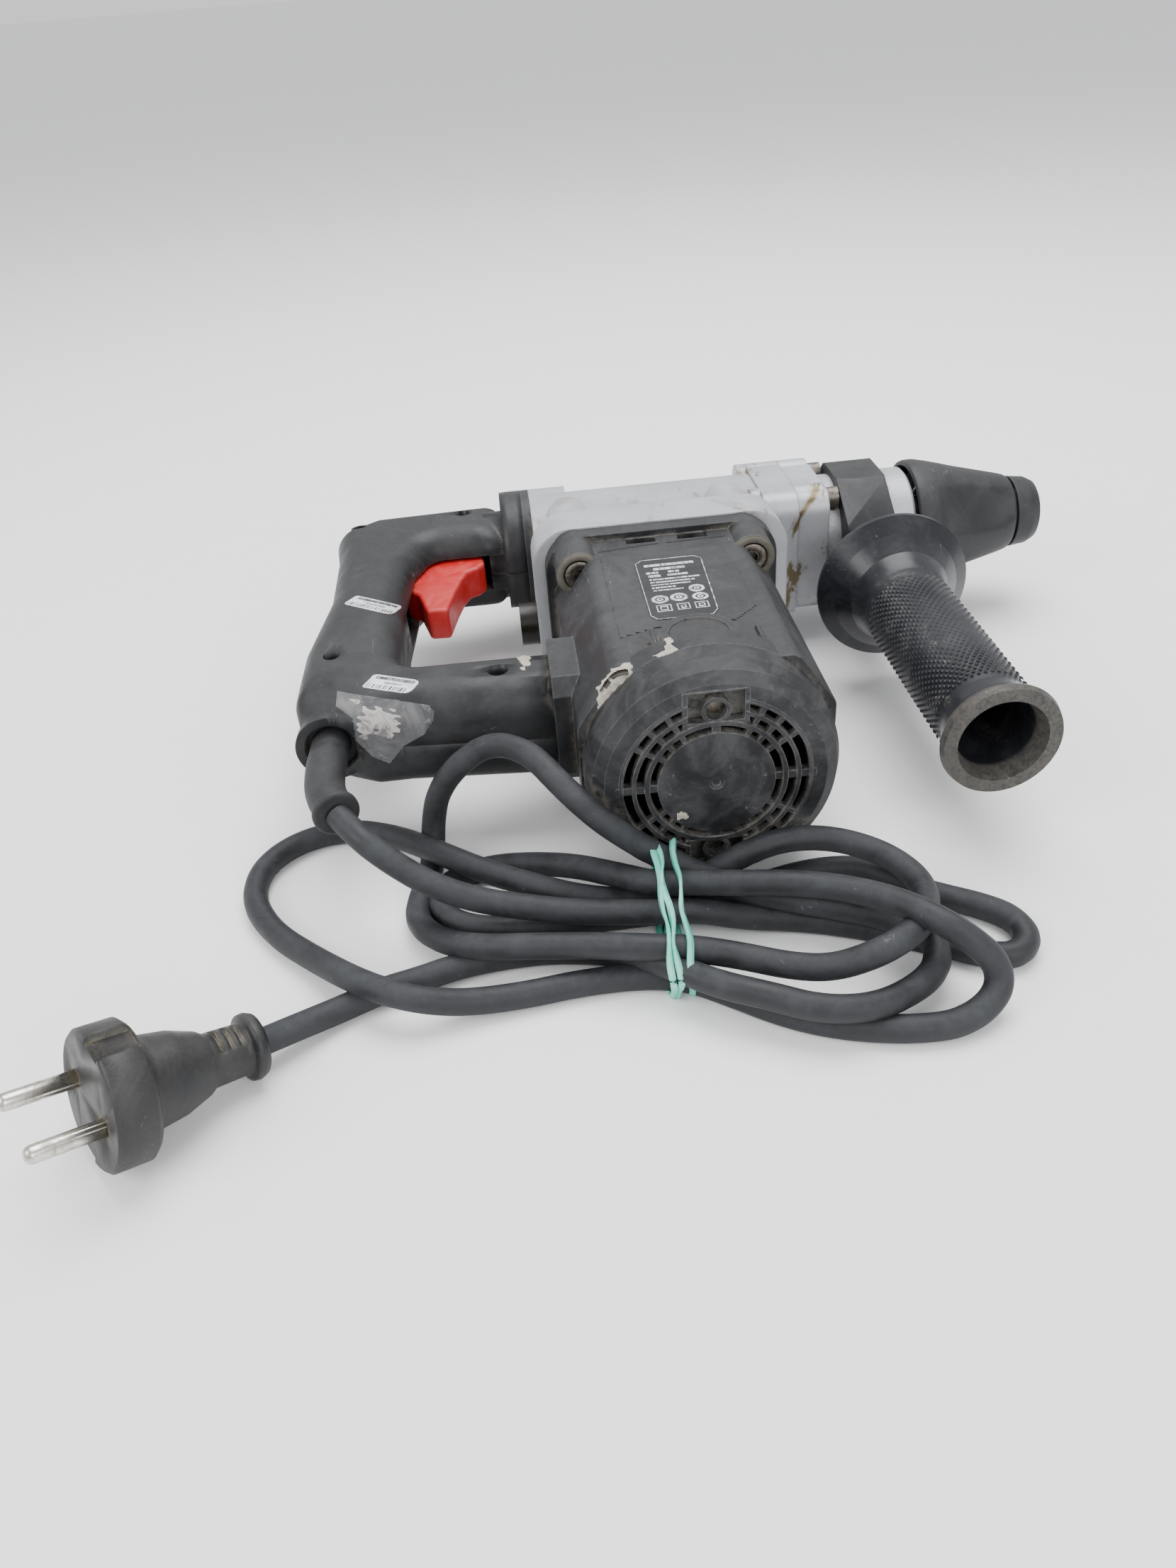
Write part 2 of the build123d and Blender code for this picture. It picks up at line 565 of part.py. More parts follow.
def handle_outer():
    face = make_face(Polyline(*HANDLE_OUTLINE, close=True))
    bends = [v for v in face.vertices() if v.X < -70]
    face = fillet(bends, 9)
    body = Pos(0, 0, -HANDLE_HALF) * extrude(face, amount=2 * HANDLE_HALF)
    rims = body.faces().filter_by(Axis.Z)
    edges = [e for f in rims for e in f.edges() if e.center().X < STUB_X - 1]
    body = fillet(edges, HANDLE_ROUND)
    flange = cyl_x(-58, REAR_X, REAR_COVER_R, REAR_COVER_Y)
    neck = cyl_x(-66, -57, 18.6, 9)
    outlet = cyl_y(OUTLET_Y, OUTLET_Y + 26, OUTLET_R, OUTLET_X)
    return body + flange + neck + outlet


def handle_inner():
    outline = make_face(Polyline(*HANDLE_OUTLINE, close=True))
    inner = offset(outline, amount=-WALL - 3.5)
    half = HANDLE_HALF - WALL - 2
    return Pos(0, 0, -half) * extrude(inner, amount=2 * half)


TRIGGER_OUTLINE = [
    (-100, -4), (-86, -1.5), (-67.5, -3.5), (-66.5, -19), (-70, -26), (-77, -36), (-81.5, -53),
    (-90, -51.5), (-94, -36), (-100, -30)]
TRIGGER_TRAVEL = 6.0
SPRING_Y = -17.0
SWITCH_FACE_X = -109.0


def trigger_slot():
    return block(-108, -64.5, -56, 0, -TRIGGER_HALF - GAP, TRIGGER_HALF + GAP)


def trigger():
    body = slab(TRIGGER_OUTLINE, -TRIGGER_HALF, TRIGGER_HALF)
    outer = [e for e in body.edges() if e.center().X > -90 and abs(abs(e.center().Z) - TRIGGER_HALF) < 0.1]
    body = chamfer(outer, 1.2)
    return body - cyl_x(-101, -92, 3.5, SPRING_Y)


def handle_shells():
    body = handle_outer() - handle_inner()
    body -= cyl_x(-60, REAR_X + 1, 12, REAR_COVER_Y)
    body -= trigger_slot()
    body -= cyl_y(OUTLET_Y - 1, OUTLET_Y + 27, 9.0, OUTLET_X)
    for x, y in HANDLE_SCREWS:
        body += cyl_z(-HANDLE_HALF + 1, HANDLE_HALF - 1, 4.6, x, y)
        body -= cyl_z(9, HANDLE_HALF + 2, 3.6, x, y)
        body -= cyl_z(-HANDLE_HALF + 3, 10, 1.6, x, y)
    keep = 400
    right = body & block(-keep, keep, -keep, keep, 0, keep)
    left = body & block(-keep, keep, -keep, keep, -keep, 0)
    return right, left


HANDLE_SCREWS = [(-63.4, -126.7), (-124.5, -104.0), (-121, 12), (-74, 14)]


def handle_screws():
    screws = []
    for x, y in HANDLE_SCREWS:
        screws.append(cyl_z(9, 12, 3.4, x, y) + cyl_z(-8, 9, 1.58, x, y))
    return Compound(screws)


def switch_block():
    body = block(-125, SWITCH_FACE_X, -52, -8, -11, 11)
    return body - cyl_x(SWITCH_FACE_X - TRIGGER_TRAVEL - 2, SWITCH_FACE_X + 1, 3.5, SPRING_Y)


def trigger_spring():
    spring = coil_spring(2.6, 0.5, 9.0, 4)
    return Pos(SWITCH_FACE_X + 0.6, SPRING_Y, 0) * Rot(0, 90, 0) * spring


# ---------------------------------------------------------------- side handle
def handle_collar():
    """Eight-sided clamp band on the neck with a lug towards the grip."""
    width, across = 20.0, 31.5
    x0 = SIDE_X - width / 2
    face = Plane.YZ * RegularPolygon(across, 8, major_radius=False, rotation=22.5)
    band = Pos(x0, 0, 0) * extrude(face, amount=width)
    band = chamfer(band.edges().filter_by(Axis.X), 1.5)
    lug = block(x0 + 1, x0 + width - 1, -46, -26, -13, 13)
    band += lug
    band -= cyl_x(x0 - 1, x0 + width + 1, NECK_R + FIT)
    band -= cyl_y(-47, -22, 5.05, SIDE_X)
    return band


def collar_bolt():
    return cyl_y(-66, -25.0, 5.03, SIDE_X)


def side_grip():
    """Turned grip: flared guard disc, waisted grip and open ring at the end."""
    grip = turned_y([
        (-46.05, 0), (-46.05, 12), (-54, 15), (SIDE_DISC_Y + 1.5, SIDE_DISC_R - 0.6), (SIDE_DISC_Y, SIDE_DISC_R),
        (SIDE_DISC_Y - 1.6, SIDE_DISC_R), (-64, 24), (-70, 19), (-78, 16.2), (-90, SIDE_GRIP_R),
        (-130, SIDE_GRIP_R + 0.4), (-158, 15.4), (-164, 16.2), (-168, SIDE_END_R - 1.2),
        (-170, SIDE_END_R), (SIDE_END_Y, SIDE_END_R - 0.6), (SIDE_END_Y, 14.6), (-166, 12.8), (-84, 11.2),
        (-84, 0)], SIDE_X)
    return grip - cyl_y(-67, -45, 5.05, SIDE_X)


# ---------------------------------------------------------------- cord
BOOT_END = (-116.0, -172.0, 0.0)
ON_FLOOR = FLOOR_Z + CORD_R

# Routes of the stretches that are not wound up, chosen by hand.
BOOT_ROUTE = [(OUTLET_X, OUTLET_Y + 8, 0), (-122, -147, 0), (-121, -160, 0), BOOT_END]
LEAD_ROUTE = [BOOT_END, (-110, -180, -3), (-101, -186, -9), (-90, -190.5, -16), (-77, -193.5, -21.5), (-62, -195.5, -25)]
ARCH_ROUTE = [
    (-18, -185.5, -20.5), (-28, -184, -13), (-37.5, -183, -4), (-47, -175, 3.5), (-56, -160.5, 8),
    (-68, -149, 5.5), (-80, -147.5, -3), (-87.5, -147.5, -13), (-90.5, -147.5, -24), (-91.5, -151.8, -31.5),
    (-92.5, -160, ON_FLOOR)]
TAIL_ROUTE = [(-138.6, -232.9, -30.9), (-128.5, -225.5, -33.5), (-118, -218.5, ON_FLOOR), (-106, -212.6, ON_FLOOR)]

PLUG_FACE = (-174.5, -258.6, -18.2)
PLUG_REAR = (-138.4, -232.6, -30.9)
PLUG_R, PIN_R, PIN_LENGTH, PIN_HALF_GAP = 19.0, 2.4, 19.0, 9.5


def corner_radii(points, share=0.45):
    """Arc radius at each corner: as large as its two runs allow."""
    radii = []
    for before, corner, after in zip(points, points[1:], points[2:]):
        a = Vector(*corner) - Vector(*before)
        b = Vector(*after) - Vector(*corner)
        turn = radians(a.get_angle(b))
        radii.append(share * min(a.length, b.length) / tan(turn / 2))
    return radii


def tube(name, points, radius):
    """Round cord along straight runs joined by tangent arcs."""
    radii = corner_radii(points)
    path = FilletPolyline(*points, radius=radii)
    start = Plane(origin=path @ 0, z_dir=path % 0)
    solid = sweep(start * Circle(radius), path=path)
    expected = pi * radius ** 2 * path.length
    print(f"{name}: length {path.length:.1f}, radii {[round(r) for r in radii]}, "
          f"volume {solid.volume / expected:.3f} of section times length")
    return solid


def strain_relief():
    """Curved rubber boot: collar held in the handle, sleeve, flared end ring."""
    sleeve = tube("strain relief", BOOT_ROUTE, 6.4)
    end_dir = (Vector(*BOOT_END) - Vector(*BOOT_ROUTE[-2])).normalized()
    ring_plane = Plane(origin=Vector(*BOOT_END) - end_dir * 3.2, z_dir=end_dir)
    ring = extrude(ring_plane * Circle(7.4), amount=3.2)
    ring = fillet(ring.edges(), 1.2)
    collar = cyl_y(OUTLET_Y + 4, OUTLET_Y + 8, 8.9, OUTLET_X)
    return sleeve + ring + collar


LEFT_LOOPS = [
    (-60, -156.5), (-76, -155.5), (-92, -143.8), (-112, -127), (-137, -128.5), (-154.5, -142), (-156.5, -165),
    (-147, -184), (-128, -205), (-112, -222), (-99, -229.5), (-84, -229.5), (-60, -226.5)]
BUNDLE = [
    (-62, -156.5), (-44, -164), (-40.5, -178.2), (38, -178.2), (38, -228), (0, -234), (-14, -234),
    (-30, -226.5), (-62, -226.5)]
RIGHT_LOOPS = [
    (30, -178.2), (48, -176.5), (60, -184), (72, -194), (86, -206), (92, -218), (90, -230), (77, -235),
    (74, -248), (64, -256), (47, -256.5), (30, -256), (13, -252), (-2, -244), (-12, -232), (30, -228)]
LEFT_TOP, BUNDLE_TOP, RIGHT_TOP = -23.8, -17.0, -21.0


def cord_hank():
    """Closed outer shape of the loops that the bands tie together."""
    left = slab(LEFT_LOOPS, FLOOR_Z, LEFT_TOP)
    bundle = slab(BUNDLE, FLOOR_Z, BUNDLE_TOP)
    right = slab(RIGHT_LOOPS, FLOOR_Z, RIGHT_TOP)
    return left + bundle + right


TIE_X0, TIE_X1 = -28.0, -18.0


def cord_tie():
    """Rubber bands round the bundle, as one flat belt."""
    belt = block(TIE_X0, TIE_X1, -234, -177.8, FLOOR_Z, BUNDLE_TOP + 1.2)
    return belt - cord_hank()


def plug_frame():
    face, rear = Vector(*PLUG_FACE), Vector(*PLUG_REAR)
    axis = (face - rear).normalized()
    across = Vector(0.12, 0.61, 0.78)
    across = across - axis * across.dot(axis)
    return Plane(origin=face, x_dir=across, z_dir=axis)


def plug_body():
    """Round two-pin plug with side notches, tapered neck and ringed strain relief."""
    points = [
        (0, 0), (PLUG_R - 1, 0), (PLUG_R, -1), (PLUG_R, -10), (PLUG_R - 1.5, -11.5), (13, -12.5), (11.5, -22),
        (9, -29), (7.6, -31), (7.2, -41), (9.3, -42), (9.5, -43.5), (8.8, -45.2), (6.5, -46), (0, -46)]
    outline = Polyline(*[(r, 0, z) for r, z in points], close=True)
    body = revolve(make_face(outline), axis=Axis.Z)
    for side in (-1, 1):
        body -= Pos(0, side * 19.5, -3) * Box(8, 7, 16)
        for k in range(3):
            body -= Pos(0, side * 7.4, -33.2 - 3 * k) * Box(9, 3, 1.4)
        body -= Pos(side * PIN_HALF_GAP, 0, -6) * Cylinder(PIN_R, 12.1)
    return plug_frame() * body


def plug_pins():
    pins = []
    for side in (-1, 1):
        pin = Cylinder(PIN_R, PIN_LENGTH + 12, align=(Align.CENTER, Align.CENTER, Align.MIN))
        pin = Pos(side * PIN_HALF_GAP, 0, -12) * fillet(pin.edges().sort_by(Axis.Z)[-1], PIN_R - 0.4)
        pins.append(plug_frame() * pin)
    return Compound(pins)


# ---------------------------------------------------------------- small parts
def mode_knob():
    """Round knob with a finger bar; the tool rests on the bar."""
    disc = cyl_z(SIDE_FACE_Z - 4.5, SIDE_FACE_Z - GAP, KNOB_R, KNOB_X, KNOB_Y)
    bar = block(KNOB_X - 15, KNOB_X + 15, KNOB_Y - 5, KNOB_Y + 5, FLOOR_Z, SIDE_FACE_Z - 4)
    bar = fillet(bar.edges().filter_by(Axis.Z), 3)
    stem = cyl_z(SIDE_FACE_Z - 1, -21.3, KNOB_STEM_R, KNOB_X, KNOB_Y)
    return disc + bar + stem


def brush_caps():
    caps = []
    for side in (-1, 1):
        cap = cyl_z(side * 34.5, side * 36.9, 9.25, 0, BRUSH_Y)
        cap -= block(-4.6, 4.6, BRUSH_Y - 0.7, BRUSH_Y + 0.7, side * 35.6, side * 38)
        caps.append(cap)
    return Compound(caps)


def brush_holders():
    holders = []
    for side in (-1, 1):
        holder = cyl_z(side * 15, side * 34.3, 5.9, 0, BRUSH_Y)
        holder -= block(-2.9, 2.9, BRUSH_Y - 4.3, BRUSH_Y + 4.3, side * 14, side * 35)
        holders.append(holder)
    return Compound(holders)


def carbon_brushes():
    brushes = []
    for side in (-1, 1):
        brushes.append(block(-2.85, 2.85, BRUSH_Y - 4.25, BRUSH_Y + 4.25, side * 10.8, side * 23.5))
    return Compound(brushes)


def brush_springs():
    springs = []
    for side in (-1, 1):
        spring = coil_spring(2.2, 0.4, 9.6, 4)
        spring = Pos(0, BRUSH_Y, side * 24) * (spring if side > 0 else Rot(180, 0, 0) * spring)
        springs.append(spring)
    return Compound(springs)


def ring_x(x0, x1, r_in, r_out):
    return cyl_x(x0, x1, r_out) - cyl_x(x0 - 1, x1 + 1, r_in)


def end_cap_screws():
    screws = []
    for side in (-1, 1):
        z = side * 25.7
        screws.append(cyl_y(-173, -171, 3.1, 0, z) + cyl_y(-171, -156, 1.88, 0, z))
    return Compound(screws)


def build_all():
    right_shell, left_shell = handle_shells()
    makers = {
        "gear_housing": gear_housing(),
        "rear_cover": rear_cover(),
        "front_housing": front_housing(),
        "grease_plug": cyl_x(-54.5, -47.5, 8.5, -47, -6),
        "nose_screws": Compound([
            socket_screw_x(NOSE_FACE_X, 52, y, z) for y, z in four(NOSE_BOLT_Y, NOSE_BOLT_Z)]),
        "motor_screws": Compound([
            socket_screw_y(-74, -40, x, z) for x, z in four(FLANGE_SCREW_X, FLANGE_SCREW_Z)]),
        "motor_housing": motor_housing(),
        "end_cap": end_cap(),
        "end_cap_screws": end_cap_screws(),
        "brush_caps": brush_caps(),
        "brush_holders": brush_holders(),
        "carbon_brushes": carbon_brushes(),
        "brush_springs": brush_springs(),
        "stator_core": stator_core(),
        "field_coils": field_coils(),
        "handle_shell_right": right_shell,
        "handle_shell_left": left_shell,
        "handle_screws": handle_screws(),
        "switch_block": switch_block(),
        "trigger": trigger(),
        "trigger_spring": trigger_spring(),
        "mode_knob": mode_knob(),
        "armature_shaft": armature_shaft(),
        "armature_core": armature_core(),
        "armature_windings": armature_windings(),
        "commutator": commutator(),
        "fan": fan(),
        "front_motor_bearing": ball_bearing_y(-46, -38, SHAFT_R + FIT, 13.0),
        "rear_motor_bearing": ball_bearing_y(-170.4, -163.2, SHAFT_R + FIT, 8.0),
        "crank_gear": crank_gear(),
        "crank_bearing": ball_bearing_y(-43, -35.5, 3.5 + FIT, 8.0, -GEAR_CENTRES),
        "intermediate_gear": intermediate_gear(),
        "intermediate_bearing": ball_bearing_y(-43, -35.5, 3.5 + FIT, 8.0, GEAR_CENTRES),
        "bevel_pinion": bevel_pinion(),
        "bevel_ring_gear": bevel_ring_gear(),
        "hammer_cylinder": hammer_cylinder(),
        "tool_holder": tool_holder(),
        "locking_balls": locking_balls(),
        "spindle_bearing": ring_x(84, 97, HOLDER_R + FIT, 18.0),
        "nose_seal": ring_x(101, 107, HOLDER_R + FIT, 18.0),
        "lock_sleeve": lock_sleeve(),
        "lock_spring": lock_spring(),
        "dust_cap": dust_cap(),
        "piston": piston(),
        "piston_ring": piston_ring(),
        "wrist_pin": wrist_pin(),
        "conrod": conrod(),
        "striker": striker(),
        "impact_bolt": impact_bolt(),
        "handle_collar": handle_collar(),
        "collar_bolt": collar_bolt(),
        "side_grip": side_grip(),
        "strain_relief": strain_relief(),
        "cord_lead": tube("cord lead", LEAD_ROUTE, CORD_R),
        "cord_arch": tube("cord arch", ARCH_ROUTE, CORD_R),
        "cord_tail": tube("cord tail", TAIL_ROUTE, CORD_R),
        "cord_hank": cord_hank(),
        "cord_tie": cord_tie(),
        "plug_body": plug_body(),
        "plug_pins": plug_pins(),
    }
    return makers


# The part's own frame: centre of the tool's footprint, on the surface it lies on.
TO_PART_FRAME = Pos(-(GRIP_REAR_X + NOSE_X) / 2, -(GRILLE_Y + HOUSING_TOP_Y) / 2, -FLOOR_Z)

for node_name, node_solid in build_all().items():
    export_step(TO_PART_FRAME * node_solid, f"parts/{node_name}.step")
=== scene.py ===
import math
import random

import bmesh
import bpy
from mathutils import Matrix, Vector
from mathutils.bvhtree import BVHTree


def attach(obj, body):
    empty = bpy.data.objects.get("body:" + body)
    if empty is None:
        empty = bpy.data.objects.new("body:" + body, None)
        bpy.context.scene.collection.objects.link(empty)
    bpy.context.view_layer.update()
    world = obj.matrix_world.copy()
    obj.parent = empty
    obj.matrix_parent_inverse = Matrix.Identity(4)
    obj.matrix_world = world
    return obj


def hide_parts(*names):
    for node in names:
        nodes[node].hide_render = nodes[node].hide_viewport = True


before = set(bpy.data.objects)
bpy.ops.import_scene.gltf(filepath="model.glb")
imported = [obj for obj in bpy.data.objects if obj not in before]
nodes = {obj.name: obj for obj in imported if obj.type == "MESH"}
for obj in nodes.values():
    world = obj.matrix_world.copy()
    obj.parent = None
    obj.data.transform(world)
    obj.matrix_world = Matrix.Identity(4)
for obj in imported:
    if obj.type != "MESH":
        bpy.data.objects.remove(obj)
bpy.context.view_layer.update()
# Where barrel and motor axes cross, in the part's frame, in millimetres.
TOOL_AXES = (-18.8, 70.0, 39.8)


# ---------------------------------------------------------------- Camera, table and lamps
# A standing person's view of the tool lying on its side on a white table.
# Broad soft lamps and a bright room keep the black mouldings readable and show their dust.
camera = bpy.data.objects.new("view_camera", bpy.data.cameras.new("view_camera"))
camera.data.sensor_fit = "AUTO"
camera.data.sensor_width = 36.0
camera.data.lens = 26.6224
camera.data.clip_start = 0.02
camera.location = (-0.07152, -0.39268, 0.24571)
camera.rotation_euler = [math.radians(turn) for turn in (54.7807, 3.8875, -5.4428)]
bpy.context.scene.collection.objects.link(camera)
bpy.context.scene.camera = camera


def new_material(name):
    """An empty node material, its shader and the object coordinates that drive it."""
    material = bpy.data.materials.new(name)
    material.use_nodes = True
    tree = material.node_tree
    shader = tree.nodes["Principled BSDF"]
    place = tree.nodes.new("ShaderNodeTexCoord")
    return material, tree, shader, place.outputs["Object"]


def put_in(tree, socket, value):
    """Links a node's output to a socket, or sets a plain number or colour on it."""
    if isinstance(value, bpy.types.NodeSocket):
        tree.links.new(value, socket)
    elif isinstance(value, tuple):
        socket.default_value = (*value, 1.0)
    else:
        socket.default_value = value


def noise(tree, place, scale, detail=4.0, roughness=0.6, distortion=0.0):
    node = tree.nodes.new("ShaderNodeTexNoise")
    tree.links.new(place, node.inputs["Vector"])
    settings = {"Scale": scale, "Detail": detail, "Roughness": roughness, "Distortion": distortion}
    for name, number in settings.items():
        node.inputs[name].default_value = number
    return node.outputs["Fac"]


def stretched(tree, place, factors, turn=(0.0, 0.0, 0.0)):
    """The same coordinates squeezed along one direction, for streaks and scratches."""
    node = tree.nodes.new("ShaderNodeMapping")
    tree.links.new(place, node.inputs["Vector"])
    node.inputs["Scale"].default_value = factors
    node.inputs["Rotation"].default_value = [math.radians(angle) for angle in turn]
    return node.outputs["Vector"]


def steps(tree, value, low, high, to_low=0.0, to_high=1.0):
    """Maps a value range smoothly on to another."""
    node = tree.nodes.new("ShaderNodeMapRange")
    node.interpolation_type = "SMOOTHSTEP"
    tree.links.new(value, node.inputs["Value"])
    for name, number in (("From Min", low), ("From Max", high), ("To Min", to_low), ("To Max", to_high)):
        node.inputs[name].default_value = number
    return node.outputs["Result"]


def sum_of(tree, operation, a, b):
    node = tree.nodes.new("ShaderNodeMath")
    node.operation = operation
    node.use_clamp = True
    put_in(tree, node.inputs[0], a)
    put_in(tree, node.inputs[1], b)
    return node.outputs[0]


def blend_colours(tree, share, a, b):
    node = tree.nodes.new("ShaderNodeMix")
    node.data_type = "RGBA"
    put_in(tree, node.inputs["Factor"], share)
    put_in(tree, node.inputs[6], a)
    put_in(tree, node.inputs[7], b)
    return node.outputs[2]


def softened_edges(tree, radius):
    """Normals rounded over at sharp edges, and how near to an edge a point is."""
    bevel = tree.nodes.new("ShaderNodeBevel")
    bevel.samples = 4
    bevel.inputs["Radius"].default_value = radius
    true = tree.nodes.new("ShaderNodeNewGeometry")
    dot = tree.nodes.new("ShaderNodeVectorMath")
    dot.operation = "DOT_PRODUCT"
    tree.links.new(bevel.outputs["Normal"], dot.inputs[0])
    tree.links.new(true.outputs["Normal"], dot.inputs[1])
    return bevel.outputs["Normal"], steps(tree, dot.outputs["Value"], 0.99, 0.86)


def crevices(tree, distance):
    """How much a point is shut in by its neighbours, where dust and grease gather and where shade is painted.
    """
    node = tree.nodes.new("ShaderNodeAmbientOcclusion")
    node.samples = 4
    node.inputs["Distance"].default_value = distance
    return steps(tree, node.outputs["AO"], 0.72, 0.25)


def raised(tree, shader, height, distance, strength=1.0, normal=None):
    bump = tree.nodes.new("ShaderNodeBump")
    bump.inputs["Strength"].default_value = strength
    bump.inputs["Distance"].default_value = distance
    tree.links.new(height, bump.inputs["Height"])
    if normal is not None:
        tree.links.new(normal, bump.inputs["Normal"])
    tree.links.new(bump.outputs["Normal"], shader.inputs["Normal"])


table_paint, tree, shader, place = new_material("table_paint")
table_grain = noise(tree, place, 60.0)
colour = blend_colours(tree, table_grain, (0.90, 0.90, 0.90), (0.93, 0.93, 0.93))
tree.links.new(colour, shader.inputs["Base Color"])
shader.inputs["Roughness"].default_value = 0.8
raised(tree, shader, table_grain, 0.0002, 0.1)

bpy.ops.mesh.primitive_plane_add(size=80.0, location=(0.0, 0.0, 0.0))
table = bpy.context.object
table.name = "table_top"
table.data.materials.append(table_paint)


def soft_lamp(name, place_at, aim_at, size, power, tint=(1.0, 1.0, 1.0)):
    lamp = bpy.data.lights.new(name, "AREA")
    lamp.shape = "DISK"
    lamp.size = size
    lamp.energy = power
    lamp.color = tint
    holder = bpy.data.objects.new(name, lamp)
    holder.location = place_at
    holder.rotation_euler = (Vector(aim_at) - Vector(place_at)).to_track_quat("-Z", "Y").to_euler()
    bpy.context.scene.collection.objects.link(holder)


soft_lamp("lamp_over", (0.1, 0.3, 1.1), (0.0, 0.0, 0.0), 1.0, 18.0)
soft_lamp("lamp_left", (-0.9, -0.5, 0.7), (-0.05, 0.0, 0.02), 0.7, 8.0)
soft_lamp("lamp_front", (0.5, -1.1, 0.7), (0.0, -0.05, 0.0), 0.9, 8.0)
world = bpy.data.worlds.new("studio")
world.use_nodes = True
world.node_tree.nodes["Background"].inputs["Color"].default_value = (0.97, 0.98, 1.0, 1.0)
world.node_tree.nodes["Background"].inputs["Strength"].default_value = 0.98
bpy.context.scene.world = world


